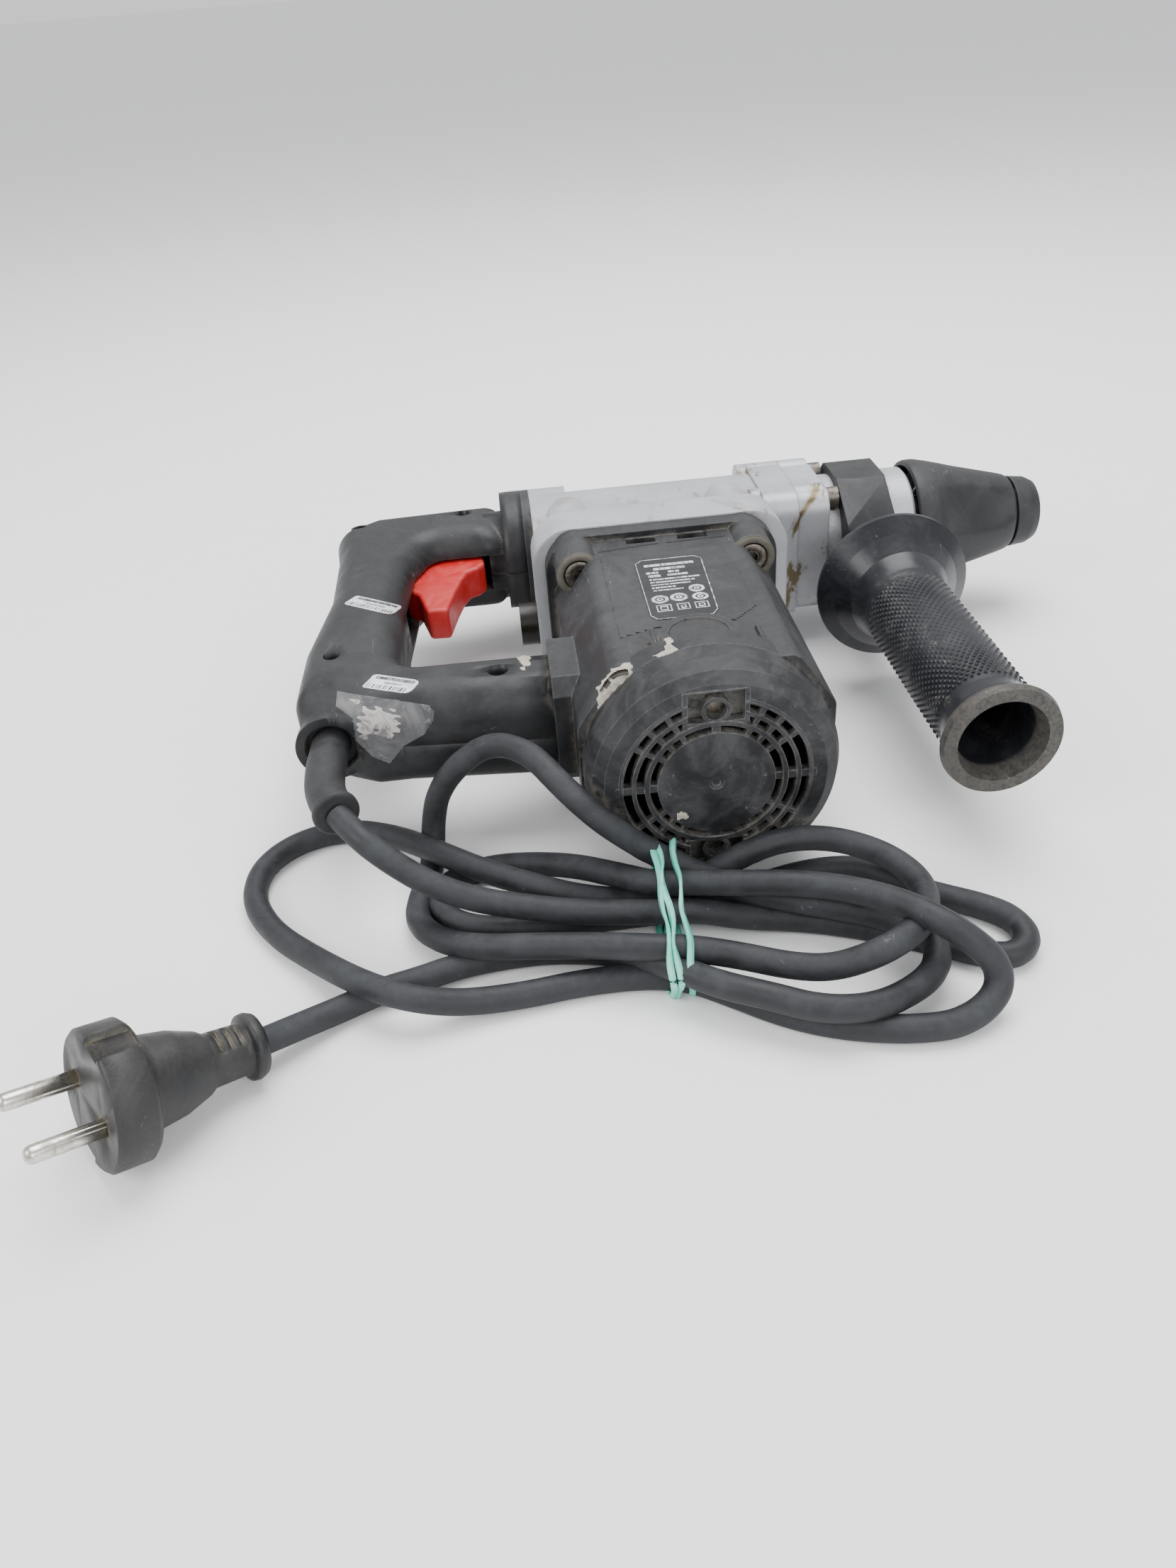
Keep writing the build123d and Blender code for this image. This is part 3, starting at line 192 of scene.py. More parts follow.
# ---------------------------------------------------------------- Mains cord
# Eight-millimetre rubber-sheathed flex, all in one length from the boot to the plug.
# It is wound up by hand into an uneven hank that leans one bight on the handle.
CORD_D = 0.008
CORD_ROUTE = [
    (-0.1348, -0.1020, 0.0398), (-0.1288, -0.1100, 0.0368), (-0.1198, -0.1160, 0.0308),
    (-0.1088, -0.1205, 0.0238), (-0.0958, -0.1235, 0.0183), (-0.0808, -0.1255, 0.0148),
    (-0.0638, -0.1280, 0.0123), (-0.0438, -0.1300, 0.0110), (-0.0288, -0.1300, 0.0098),
    (-0.0153, -0.1312, 0.0058), (0.0021, -0.1328, 0.0040), (0.0191, -0.1392, 0.0040),
    (0.0331, -0.1467, 0.0040), (0.0431, -0.1522, 0.0040), (0.0511, -0.1572, 0.0040),
    (0.0596, -0.1587, 0.0040), (0.0656, -0.1522, 0.0040), (0.0641, -0.1427, 0.0040),
    (0.0571, -0.1362, 0.0040), (0.0481, -0.1307, 0.0040), (0.0391, -0.1247, 0.0040),
    (0.0321, -0.1172, 0.0040), (0.0251, -0.1117, 0.0040), (0.0112, -0.1110, 0.0040),
    (-0.0028, -0.1140, 0.0040), (-0.0178, -0.1200, 0.0040), (-0.0338, -0.1225, 0.0040),
    (-0.0538, -0.1225, 0.0040), (-0.0708, -0.1232, 0.0040), (-0.0868, -0.1227, 0.0040),
    (-0.1013, -0.1187, 0.0040), (-0.1098, -0.1082, 0.0040), (-0.1058, -0.0957, 0.0040),
    (-0.0918, -0.0903, 0.0040), (-0.0767, -0.0952, 0.0068), (-0.0640, -0.1036, 0.0108),
    (-0.0517, -0.1152, 0.0148), (-0.0406, -0.1248, 0.0173), (-0.0295, -0.1269, 0.0183),
    (-0.0164, -0.1303, 0.0188), (-0.0016, -0.1333, 0.0193), (0.0125, -0.1379, 0.0193),
    (0.0238, -0.1498, 0.0233), (0.0321, -0.1615, 0.0253), (0.0395, -0.1676, 0.0223),
    (0.0471, -0.1701, 0.0148), (0.0479, -0.1737, 0.0083), (0.0418, -0.1788, 0.0058),
    (0.0340, -0.1814, 0.0043), (0.0271, -0.1817, 0.0040), (0.0161, -0.1807, 0.0040),
    (0.0011, -0.1767, 0.0040), (-0.0118, -0.1702, 0.0040), (-0.0248, -0.1602, 0.0040),
    (-0.0358, -0.1522, 0.0040), (-0.0488, -0.1492, 0.0040), (-0.0668, -0.1492, 0.0040),
    (-0.0848, -0.1517, 0.0040), (-0.1025, -0.1540, 0.0063), (-0.1163, -0.1551, 0.0118),
    (-0.1299, -0.1464, 0.0113), (-0.1452, -0.1287, 0.0058), (-0.1607, -0.1122, 0.0040),
    (-0.1702, -0.0942, 0.0040), (-0.1687, -0.0763, 0.0040), (-0.1567, -0.0643, 0.0040),
    (-0.1397, -0.0613, 0.0040), (-0.1227, -0.0747, 0.0088), (-0.1083, -0.0913, 0.0133),
    (-0.0949, -0.1020, 0.0126), (-0.0805, -0.1094, 0.0108), (-0.0639, -0.1151, 0.0073),
    (-0.0468, -0.1160, 0.0040), (-0.0328, -0.1160, 0.0068), (-0.0198, -0.1140, 0.0113),
    (-0.0105, -0.1146, 0.0178), (0.0020, -0.1128, 0.0198), (0.0168, -0.1127, 0.0178),
    (0.0306, -0.1175, 0.0143), (0.0387, -0.1255, 0.0113), (0.0389, -0.1388, 0.0128),
    (0.0323, -0.1531, 0.0168), (0.0233, -0.1638, 0.0213), (0.0139, -0.1670, 0.0193),
    (0.0030, -0.1648, 0.0138), (-0.0080, -0.1600, 0.0118), (-0.0205, -0.1537, 0.0118),
    (-0.0346, -0.1520, 0.0153), (-0.0480, -0.1497, 0.0158), (-0.0641, -0.1442, 0.0138),
    (-0.0805, -0.1402, 0.0123), (-0.0950, -0.1372, 0.0113), (-0.1072, -0.1289, 0.0078),
    (-0.1158, -0.1147, 0.0040), (-0.1148, -0.1022, 0.0040), (-0.1113, -0.0900, 0.0040),
    (-0.1103, -0.0818, 0.0083), (-0.1093, -0.0775, 0.0158), (-0.1063, -0.0775, 0.0268),
    (-0.0988, -0.0775, 0.0368), (-0.0868, -0.0790, 0.0453), (-0.0748, -0.0905, 0.0478),
    (-0.0658, -0.1050, 0.0433), (-0.0563, -0.1130, 0.0358), (-0.0468, -0.1140, 0.0268),
    (-0.0368, -0.1155, 0.0193), (-0.0248, -0.1205, 0.0143), (-0.0128, -0.1271, 0.0118),
    (0.0009, -0.1328, 0.0113), (0.0144, -0.1386, 0.0113), (0.0251, -0.1444, 0.0113),
    (0.0321, -0.1497, 0.0108), (0.0364, -0.1555, 0.0088), (0.0334, -0.1638, 0.0078),
    (0.0254, -0.1707, 0.0083), (0.0119, -0.1779, 0.0103), (-0.0032, -0.1780, 0.0120),
    (-0.0167, -0.1703, 0.0120), (-0.0293, -0.1643, 0.0123), (-0.0417, -0.1527, 0.0108),
    (-0.0530, -0.1416, 0.0063), (-0.0708, -0.1347, 0.0040), (-0.0868, -0.1342, 0.0040),
    (-0.1028, -0.1362, 0.0040), (-0.1148, -0.1402, 0.0040), (-0.1248, -0.1426, 0.0040),
    (-0.1368, -0.1485, 0.0040), (-0.1473, -0.1555, 0.0063), (-0.1574, -0.1629, 0.0089)
]

line = bpy.data.curves.new("mains_cord", "CURVE")
line.dimensions = "3D"
spline = line.splines.new("NURBS")
spline.points.add(len(CORD_ROUTE) - 1)
for point, spot in zip(spline.points, CORD_ROUTE):
    point.co = (*spot, 1.0)
spline.order_u = 3
spline.use_endpoint_u = True
spline.resolution_u = 10
line.bevel_depth = CORD_D / 2
line.bevel_resolution = 6
line.use_fill_caps = True
mains_cord = bpy.data.objects.new("mains_cord", line)
bpy.context.scene.collection.objects.link(mains_cord)


# How much the three colours of every black moulding are deepened.
BASE_DEPTH, DUST_DEPTH, SCUFF_DEPTH = 0.55, 0.45, 0.62
DULL_SHINE = 0.34


def dusty(name, base, dust, share, rough=0.55, scuff=(0.30, 0.30, 0.31), scuffs=0.5,
          crevice=(0.20, 0.19, 0.16), crevice_share=0.0, edge_share=0.35, soft=0.0005, grain=0.00010,
          cloud_scale=34.0, top_dust=0.3):
    """Black rubber or plastic: base colour, dust clouds, fine speckle, scratches, worn edges."""
    material, tree, shader, place = new_material(name)
    cloud = noise(tree, place, cloud_scale, 6.0, 0.66, 0.8)
    fine = noise(tree, place, 520.0, 3.0, 0.7)
    scratch = noise(tree, stretched(tree, place, (1.0, 0.16, 1.0), (20.0, 0.0, 35.0)), 240.0, 6.0, 0.7, 2.0)
    flecks = noise(tree, place, 165.0, 7.0, 0.8, 1.2)
    amount = sum_of(tree, "MULTIPLY", steps(tree, cloud, 0.38, 0.70), share)
    amount = sum_of(tree, "ADD", amount, sum_of(tree, "MULTIPLY", steps(tree, fine, 0.46, 0.76), 0.10))
    if top_dust:
        facing = tree.nodes.new("ShaderNodeTexCoord")
        split = tree.nodes.new("ShaderNodeSeparateXYZ")
        tree.links.new(facing.outputs["Normal"], split.inputs["Vector"])
        upward = steps(tree, split.outputs["Z"], 0.2, 1.0)
        settled = sum_of(tree, "MULTIPLY", upward, steps(tree, flecks, 0.30, 0.62))
        amount = sum_of(tree, "ADD", amount, sum_of(tree, "MULTIPLY", settled, top_dust))
    base, dust, scuff = (
        tuple(part * deep for part in tint)
        for tint, deep in ((base, BASE_DEPTH), (dust, DUST_DEPTH), (scuff, SCUFF_DEPTH)))
    colour = blend_colours(tree, amount, base, dust)
    shader.inputs["Specular IOR Level"].default_value = DULL_SHINE
    marks = sum_of(tree, "MULTIPLY", steps(tree, scratch, 0.63, 0.72), steps(tree, cloud, 0.42, 0.60))
    normal = None
    if edge_share:
        normal, edge = softened_edges(tree, soft)
        worn = sum_of(tree, "MULTIPLY", edge, steps(tree, flecks, 0.36, 0.60, 0.15, 1.0))
        marks = sum_of(tree, "ADD", marks, sum_of(tree, "MULTIPLY", worn, edge_share))
    colour = blend_colours(tree, sum_of(tree, "MULTIPLY", marks, scuffs), colour, scuff)
    if crevice_share:
        shut_in = sum_of(tree, "MULTIPLY", crevices(tree, 0.005), steps(tree, flecks, 0.35, 0.60))
        colour = blend_colours(tree, sum_of(tree, "MULTIPLY", shut_in, crevice_share), colour, crevice)
    tree.links.new(colour, shader.inputs["Base Color"])
    tree.links.new(steps(tree, cloud, 0.3, 0.7, rough - 0.12, rough + 0.16), shader.inputs["Roughness"])
    raised(tree, shader, fine, grain, 0.6, normal)
    return material


cord_rubber = dusty(
    "cord_rubber", (0.022, 0.024, 0.028), (0.085, 0.090, 0.10), 0.75, 0.60, (0.24, 0.25, 0.26), 0.55,
    edge_share=0.0, cloud_scale=46.0, top_dust=0.35)
mains_cord.data.materials.append(cord_rubber)
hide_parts("cord_lead", "cord_arch", "cord_hank", "cord_tail")
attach(mains_cord, "tool")


# ---------------------------------------------------------------- Boot and plug
# Moulded rubber boot that guards the cord at the handle, and a moulded-on round plug
# with slots in its neck, both grey with building dust; two solid nickel-plated pins.
def dress(material, *names):
    for name in names:
        nodes[name].data.materials.clear()
        nodes[name].data.materials.append(material)


dress(dusty(
    "boot_rubber", (0.016, 0.017, 0.019), (0.09, 0.09, 0.095), 0.55, 0.55, scuffs=0.45, top_dust=0.3),
    "strain_relief")
dress(dusty(
    "plug_rubber", (0.020, 0.021, 0.023), (0.12, 0.115, 0.11), 0.55, 0.50, (0.34, 0.32, 0.29), 0.6,
    (0.32, 0.28, 0.19), 0.75, top_dust=0.45), "plug_body")

pin_plating, tree, shader, place = new_material("pin_plating")
pin_wear = noise(tree, place, 260.0, 5.0, 0.7, 1.0)
colour = blend_colours(tree, steps(tree, pin_wear, 0.42, 0.66), (0.62, 0.60, 0.55), (0.36, 0.33, 0.28))
tree.links.new(colour, shader.inputs["Base Color"])
tree.links.new(steps(tree, pin_wear, 0.3, 0.7, 0.22, 0.42), shader.inputs["Roughness"])
shader.inputs["Metallic"].default_value = 1.0
raised(tree, shader, pin_wear, 0.0001, 0.4)
dress(pin_plating, "plug_pins")


# ---------------------------------------------------------------- Rubber bands round the hank
# Two thin turquoise office bands, one doubled and twisted on itself, pulled tight over the turns.
def at(x, y, z):
    """A place in the tool's own axes, in millimetres from where barrel and motor axes cross."""
    return Vector((x + TOOL_AXES[0], y + TOOL_AXES[1], z + TOOL_AXES[2])) / 1000.0


def new_piece(name, corners, faces, material, slot, body="tool", smooth=True, bevel=0.0):
    mesh = bpy.data.meshes.new(name)
    mesh.from_pydata([tuple(corner) for corner in corners], [], faces)
    shape = bmesh.new()
    shape.from_mesh(mesh)
    bmesh.ops.recalc_face_normals(shape, faces=shape.faces)
    shape.to_mesh(mesh)
    shape.free()
    mesh.polygons.foreach_set("use_smooth", [smooth] * len(mesh.polygons))
    mesh.materials.append(material)
    piece = bpy.data.objects.new(name, mesh)
    bpy.context.scene.collection.objects.link(piece)
    if bevel:
        rounding = piece.modifiers.new("rounding", "BEVEL")
        rounding.width = bevel
        rounding.segments = 3
        rounding.limit_method = "ANGLE"
    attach(piece, body)
    return piece


def strip_along(points, half_wide, half_thick, twist):
    """Corners and faces of a closed flat strip that follows points and turns about itself."""
    corners, faces = [], []
    count = len(points)
    for k, point in enumerate(points):
        ahead, behind = points[(k + 1) % count], points[k - 1]
        run = (ahead - behind).normalized()
        side = run.cross(Vector((1.0, 0.0, 0.0)))
        side = side.normalized() if side.length > 0.01 else Vector((0.0, 0.0, 1.0))
        out = side.cross(run).normalized()
        angle = 2.0 * math.pi * twist * k / count
        wide = out * math.cos(angle) + side * math.sin(angle)
        thick = side * math.cos(angle) - out * math.sin(angle)
        for a, b in ((1, 1), (-1, 1), (-1, -1), (1, -1)):
            corners.append(point + wide * half_wide * a + thick * half_thick * b)
    for k in range(count):
        here, there = 4 * k, 4 * ((k + 1) % count)
        for edge in range(4):
            nxt = (edge + 1) % 4
            faces.append((here + edge, here + nxt, there + nxt, there + edge))
    return corners, faces


band_rubber, tree, shader, place = new_material("band_rubber")
band_tone = noise(tree, place, 90.0, 4.0, 0.6)
colour = blend_colours(tree, steps(tree, band_tone, 0.35, 0.68), (0.10, 0.50, 0.40), (0.24, 0.66, 0.54))
tree.links.new(colour, shader.inputs["Base Color"])
tree.links.new(steps(tree, band_tone, 0.3, 0.7, 0.42, 0.60), shader.inputs["Roughness"])
shader.inputs["Subsurface Weight"].default_value = 0.12
shader.inputs["Subsurface Radius"].default_value = (0.002, 0.003, 0.002)
raised(tree, shader, noise(tree, place, 900.0), 0.0001, 0.3)
BAND_LOOP = [
    (-231.0, -28.6), (-228.6, -34.0), (-225.5, -39.0), (-219.6, -39.2), (-213.7, -39.2),
    (-207.8, -39.2), (-201.8, -39.2), (-195.9, -39.2), (-190.0, -39.2), (-184.1, -38.3),
    (-181.3, -33.5), (-181.1, -27.5), (-181.0, -21.6), (-182.4, -16.1), (-188.0, -15.1),
    (-193.9, -15.9), (-199.7, -16.8), (-205.6, -17.6), (-211.5, -18.4), (-217.4, -19.2),
    (-223.2, -20.2), (-227.9, -23.8)
]
BAND_X = -22.5  # where the first band crosses the hank
BAND_HALF_WIDE, BAND_HALF_THICK = 0.00095, 0.00045
# Each turn of band: how far it is shifted and leans along the tool, and how often it twists.
BANDS = (("band_one", 0.0, 1.2, 1.5), ("band_two", 1.9, 0.4, 2.5), ("band_three", 5.4, 1.6, 1.0))
for name, shift, lean, twist in BANDS:
    loop = []
    for k, (y, z) in enumerate(BAND_LOOP):
        wobble = 0.5 * math.sin(1.7 * k + shift)
        loop.append(at(BAND_X + shift + lean * (y - BAND_LOOP[0][0]) / 40.0 + wobble, y, z))
    smooth_loop = []
    for k, point in enumerate(loop):
        for share in (0.0, 0.25, 0.5, 0.75):
            before, ahead, beyond = loop[k - 1], loop[(k + 1) % len(loop)], loop[(k + 2) % len(loop)]
            square, cube = share * share, share * share * share
            smooth_loop.append(0.5 * (
                2.0 * point + (ahead - before) * share
                + (2.0 * before - 5.0 * point + 4.0 * ahead - beyond) * square
                + (3.0 * point - before - 3.0 * ahead + beyond) * cube))
    corners, faces = strip_along(smooth_loop, BAND_HALF_WIDE, BAND_HALF_THICK, twist)
    band = new_piece(name, corners, faces, band_rubber, "band_rubber")
    if name == "band_one":
        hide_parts("cord_tie")


# ---------------------------------------------------------------- Silver castings
# Gear housing and front housing, die-cast and sprayed silver, with the paint worn
# and old grease run into every corner; the joint between them is behind the neck.
def cast_silver(name):
    """Sprayed silver with a fine grain, grease and painted shade in the corners, and chipped edges."""
    material, tree, shader, place = new_material(name)
    sand = noise(tree, place, 900.0, 2.0, 0.6)
    cloud = noise(tree, place, 26.0, 5.0, 0.62, 0.5)
    runs = noise(tree, stretched(tree, place, (1.0, 0.45, 0.7)), 42.0, 6.0, 0.68, 1.0)
    fleck = noise(tree, place, 140.0, 7.0, 0.8, 1.0)
    paint = blend_colours(tree, steps(tree, cloud, 0.35, 0.68), (0.62, 0.63, 0.66), (0.50, 0.51, 0.545))
    grain = sum_of(tree, "MULTIPLY", steps(tree, sand, 0.5, 0.7), 0.35)
    paint = blend_colours(tree, grain, paint, (0.74, 0.75, 0.78))
    paint = blend_colours(tree, 0.45, paint, (0.20, 0.205, 0.215))
    shut_in = crevices(tree, 0.007)
    grime = sum_of(tree, "MULTIPLY", sum_of(tree, "ADD", shut_in, 0.10), steps(tree, runs, 0.40, 0.60))
    grime = sum_of(tree, "ADD", grime, sum_of(tree, "MULTIPLY", steps(tree, runs, 0.54, 0.62), 0.85))
    split = tree.nodes.new("ShaderNodeSeparateXYZ")
    tree.links.new(place, split.inputs["Vector"])
    near_nose = steps(tree, split.outputs["X"], -0.03, 0.045, 0.30, 1.0)
    grime = sum_of(tree, "MULTIPLY", grime, near_nose)
    colour = blend_colours(tree, grime, paint, (0.125, 0.088, 0.028))
    normal, edge = softened_edges(tree, 0.0012)
    chips = sum_of(tree, "MULTIPLY", edge, steps(tree, fleck, 0.52, 0.60))
    colour = blend_colours(tree, sum_of(tree, "MULTIPLY", chips, 0.55), colour, (0.30, 0.30, 0.31))
    # Painted shade: the paint is darkened towards near black where a point is shut in by its neighbours.
    painted_crevice_shade = sum_of(tree, "MULTIPLY", shut_in, steps(tree, fleck, 0.40, 0.66))
    colour = blend_colours(tree, sum_of(tree, "MULTIPLY", painted_crevice_shade, 0.5), colour, (0.09, 0.085, 0.075))
    tree.links.new(colour, shader.inputs["Base Color"])
    tree.links.new(steps(tree, grime, 0.0, 0.8, 0.46, 0.30), shader.inputs["Roughness"])
    shader.inputs["Metallic"].default_value = 0.35
    raised(tree, shader, sand, 0.00012, 0.5, normal)
    return material


silver_paint = cast_silver("silver_paint")
dress(silver_paint, "gear_housing", "front_housing")


def turned(profile, axis, centre, turns=64):
    """Corners and faces of a closed form turned about an axis from (along, radius) pairs."""
    corners, faces = [], []
    for k in range(turns):
        angle = 2.0 * math.pi * k / turns
        for along, radius in profile:
            across, up = radius * math.cos(angle), radius * math.sin(angle)
            place_of = {
                "x": (along, across, up), "y": (across, along, up), "z": (across, up, along)}[axis]
            corners.append(at(*[a + b for a, b in zip(place_of, centre)]))
    rows = len(profile)
    for k in range(turns):
        here, there = rows * k, rows * ((k + 1) % turns)
        for row in range(rows):
            nxt = (row + 1) % rows
            faces.append((here + row, here + nxt, there + nxt, there + row))
    return corners, faces


# ---------------------------------------------------------------- Steel screws and bolts
# Blackened hexagon-socket screws hold the nose and the motor, sunk in rings of dried dust.
blackened, tree, shader, place = new_material("blackened_steel")
oxide = noise(tree, place, 300.0, 6.0, 0.75, 1.0)
colour = blend_colours(tree, steps(tree, oxide, 0.40, 0.66), (0.10, 0.095, 0.09), (0.24, 0.20, 0.15))
tree.links.new(colour, shader.inputs["Base Color"])
tree.links.new(steps(tree, oxide, 0.3, 0.7, 0.34, 0.55), shader.inputs["Roughness"])
shader.inputs["Metallic"].default_value = 0.8
raised(tree, shader, oxide, 0.0001, 0.5)
dress(blackened, "nose_screws", "motor_screws", "end_cap_screws", "handle_screws")


def ground_steel(name, tone, dark, roughness, lines=(1.0, 1.0, 1.0)):
    material, tree, shader, place = new_material(name)
    marks = noise(tree, stretched(tree, place, lines), 700.0, 4.0, 0.6, 0.3)
    oil = noise(tree, place, 60.0, 5.0, 0.6)
    colour = blend_colours(tree, steps(tree, oil, 0.40, 0.70), tone, dark)
    tree.links.new(colour, shader.inputs["Base Color"])
    polish = steps(tree, marks, 0.3, 0.7, roughness - 0.08, roughness + 0.10)
    tree.links.new(polish, shader.inputs["Roughness"])
    shader.inputs["Metallic"].default_value = 1.0
    raised(tree, shader, marks, 0.00005, 0.4)
    return material


# ---------------------------------------------------------------- Motor housing
# Glass-filled black nylon, one moulding with flange, eight-sided body and round bell,
# scuffed and grey with dust; the rating plate is a shallow printed panel on its broad side.
motor_black = dusty(
    "motor_black", (0.022, 0.023, 0.026), (0.13, 0.132, 0.138), 0.50, 0.52, (0.36, 0.36, 0.36), 0.7,
    (0.34, 0.31, 0.25), 0.55, 0.65, 0.0007, top_dust=0.22)
grille_black = dusty(
    "grille_black", (0.018, 0.019, 0.022), (0.16, 0.16, 0.165), 0.60, 0.56, (0.40, 0.40, 0.40), 0.75,
    (0.30, 0.28, 0.24), 0.6, 0.9, 0.0005, top_dust=0.0, cloud_scale=60.0)
dress(motor_black, "motor_housing")
dress(grille_black, "end_cap")
dress(dusty(
    "brush_cap_black", (0.02, 0.021, 0.023), (0.12, 0.12, 0.12), 0.5, 0.55, edge_share=0.8, top_dust=0.3),
    "brush_caps")


def surface_of(name):
    """What a ray meets on a finished piece."""
    mesh = bpy.data.objects[name].data if name in bpy.data.objects else nodes[name].data
    corners = [vertex.co.copy() for vertex in mesh.vertices]
    return BVHTree.FromPolygons(corners, [tuple(polygon.vertices) for polygon in mesh.polygons])


def inside(outline, x, y):
    """Whether a point is inside a closed outline."""
    within = False
    for (ax, ay), (bx, by) in zip(outline, outline[1:] + outline[:1]):
        if (ay > y) != (by > y) and x < (bx - ax) * (y - ay) / (by - ay) + ax:
            within = not within
    return within


def rim_distance(outline, x, y):
    best = 1.0e9
    for (ax, ay), (bx, by) in zip(outline, outline[1:] + outline[:1]):
        dx, dy = bx - ax, by - ay
        share = max(0.0, min(1.0, ((x - ax) * dx + (y - ay) * dy) / (dx * dx + dy * dy)))
        best = min(best, math.hypot(x - ax - share * dx, y - ay - share * dy))
    return best


def laid_on(name, ground, outline, cell, lift, material, slot, to_plane=None, look=(0.0, 0.0, -1.0),
            ragged=0.0, crown=0.0, paint=None, seed=1, body="tool"):
    """A patch that lies on a surface: cells inside an outline, dropped on it along a line of sight.
    to_plane gives a start point for each (u, v); crown thickens the middle; paint picks a material."""
    dice = random.Random(seed)
    phases = [(dice.uniform(0.5, 1.6), dice.uniform(0.5, 1.6), dice.uniform(0.0, 6.3)) for _ in range(5)]
    to_plane = to_plane or (lambda u, v: at(u, v, 70.0))
    low_u, high_u = min(u for u, v in outline), max(u for u, v in outline)
    low_v, high_v = min(v for u, v in outline), max(v for u, v in outline)
    columns, rows = int((high_u - low_u) / cell) + 2, int((high_v - low_v) / cell) + 2
    corners, index = [], {}
    direction = Vector(look).normalized()
    for i in range(columns):
        for j in range(rows):
            u, v = low_u + i * cell, low_v + j * cell
            wave = sum(math.sin(a * u + b * v + c) for a, b, c in phases) / 5.0
            depth = rim_distance(outline, u, v) * (1 if inside(outline, u, v) else -1)
            if depth < -cell - ragged * (0.5 + wave):
                continue
            hit, normal, _, _ = ground.ray_cast(to_plane(u, v), direction)
            if hit is None:
                continue
            rise = lift + crown * max(0.0, min(1.0, depth / 2.5)) * (0.65 + 0.35 * wave)
            if depth + ragged * wave < 0.0:
                rise = lift * 0.2
            index[i, j] = len(corners)
            corners.append(hit + normal * rise / 1000.0)
    faces, tints = [], []
    for (i, j) in list(index):
        ring = [(i, j), (i + 1, j), (i + 1, j + 1), (i, j + 1)]
        if not all(spot in index for spot in ring):
            continue
        u, v = low_u + (i + 0.5) * cell, low_v + (j + 0.5) * cell
        wave = sum(math.sin(a * u + b * v + c) for a, b, c in phases) / 5.0
        depth = rim_distance(outline, u, v) * (1 if inside(outline, u, v) else -1)
        if depth + ragged * wave < 0.0:
            continue
        picks = [corners[index[spot]] for spot in ring]
        if max((a - b).length for a in picks for b in picks) > cell * 0.004:
            continue
        faces.append([index[spot] for spot in ring])
        tints.append(paint(u, v) if paint else 0)
    mesh = bpy.data.meshes.new(name)
    mesh.from_pydata([tuple(corner) for corner in corners], [], faces)
    materials = material if isinstance(material, list) else [material]
    for finish in materials:
        mesh.materials.append(finish)
    mesh.polygons.foreach_set("material_index", tints)
    mesh.polygons.foreach_set("use_smooth", [True] * len(faces))
    shape = bmesh.new()
    shape.from_mesh(mesh)
    facing_in = sum(1 if face.normal.dot(direction) > 0 else -1 for face in shape.faces)
    if facing_in > 0:
        bmesh.ops.reverse_faces(shape, faces=shape.faces)
    loose = [vertex for vertex in shape.verts if not vertex.link_faces]
    bmesh.ops.delete(shape, geom=loose, context="VERTS")
    shape.to_mesh(mesh)
    shape.free()
    patch = bpy.data.objects.new(name, mesh)
    bpy.context.scene.collection.objects.link(patch)
    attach(patch, body)
    return patch


motor_ground = surface_of("motor_housing")
plate_dark = dusty(
    "plate_dark", (0.016, 0.017, 0.019), (0.09, 0.09, 0.095), 0.35, 0.42, scuffs=0.3,
    edge_share=0.0, top_dust=0.12)
print_white, tree, shader, place = new_material("print_white")
rubbed = noise(tree, place, 420.0, 6.0, 0.8)
colour = blend_colours(tree, steps(tree, rubbed, 0.44, 0.62), (0.62, 0.63, 0.64), (0.20, 0.20, 0.21))
tree.links.new(colour, shader.inputs["Base Color"])
shader.inputs["Roughness"].default_value = 0.5

# The shallow panel on the motor's broad side, and the rating plate on it.
PANEL = [
    (-23.5, -79), (19.5, -79), (22.5, -100), (22.0, -128), (13.5, -136), (-11.5, -136),
    (-23.5, -140)]
laid_on("plate_rise", motor_ground, PANEL, 1.0, 0.35, motor_black, "black_plastic", ragged=0.0)
PLATE = [
    (-9.8, -85.2), (9.0, -85.2), (11.6, -88), (10.2, -128), (8.0, -131.5), (-10.5, -131.5),
    (-12.6, -128.5), (-12.6, -88)]
# Rows of print as plain bars: (from, to, y of the middle, half height).
PRINT_ROWS = [
    (-9.5, 8.0, -90.6, 0.95), (-6.5, 4.5, -93.8, 0.8), (-9.3, -5.2, -96.6, 0.7), (-1.8, 2.0, -96.6, 0.7),
    (-9.1, -4.8, -99.2, 0.8), (-2.4, 4.6, -99.2, 0.7), (-9.0, 8.2, -102.0, 0.42), (-9.0, 6.2, -104.2, 0.42),
    (-8.9, 4.5, -106.3, 0.42), (-8.9, -1.0, -108.4, 0.42), (-8.8, 1.4, -110.5, 0.42)]
PRINT_DISCS = [(-7.6, -117.2, 2.9), (-1.2, -116.8, 2.9), (5.6, -111.4, 2.7), (5.8, -117.6, 2.7)]
PRINT_FRAMES = [(-9.6, -4.6, -126.2, -121.2), (-2.8, 1.4, -126.0, -121.4), (3.0, 7.6, -126.0, -121.4)]


def plate_print(u, v):
    edge = rim_distance(PLATE, u, v)
    if 0.35 < edge < 0.62:
        return 1
    for start, stop, middle, half in PRINT_ROWS:
        if start < u < stop and abs(v - middle) < half:
            gap = math.sin(u * 3.1 + middle) + 0.8 * math.sin(u * 7.7 + 2.0 * middle)
            return 1 if gap > -1.25 else 0
    for x, y, r in PRINT_DISCS:
        away = math.hypot(u - x, v - y)
        if away < r:
            return 0 if r * 0.38 < away < r * 0.60 or away < r * 0.16 else 1
    for left, right, low, high in PRINT_FRAMES:
        if left < u < right and low < v < high:
            inset = min(u - left, right - u, v - low, high - v)
            return 1 if inset < 0.45 or 1.2 < inset < 1.6 else 0
    return 0


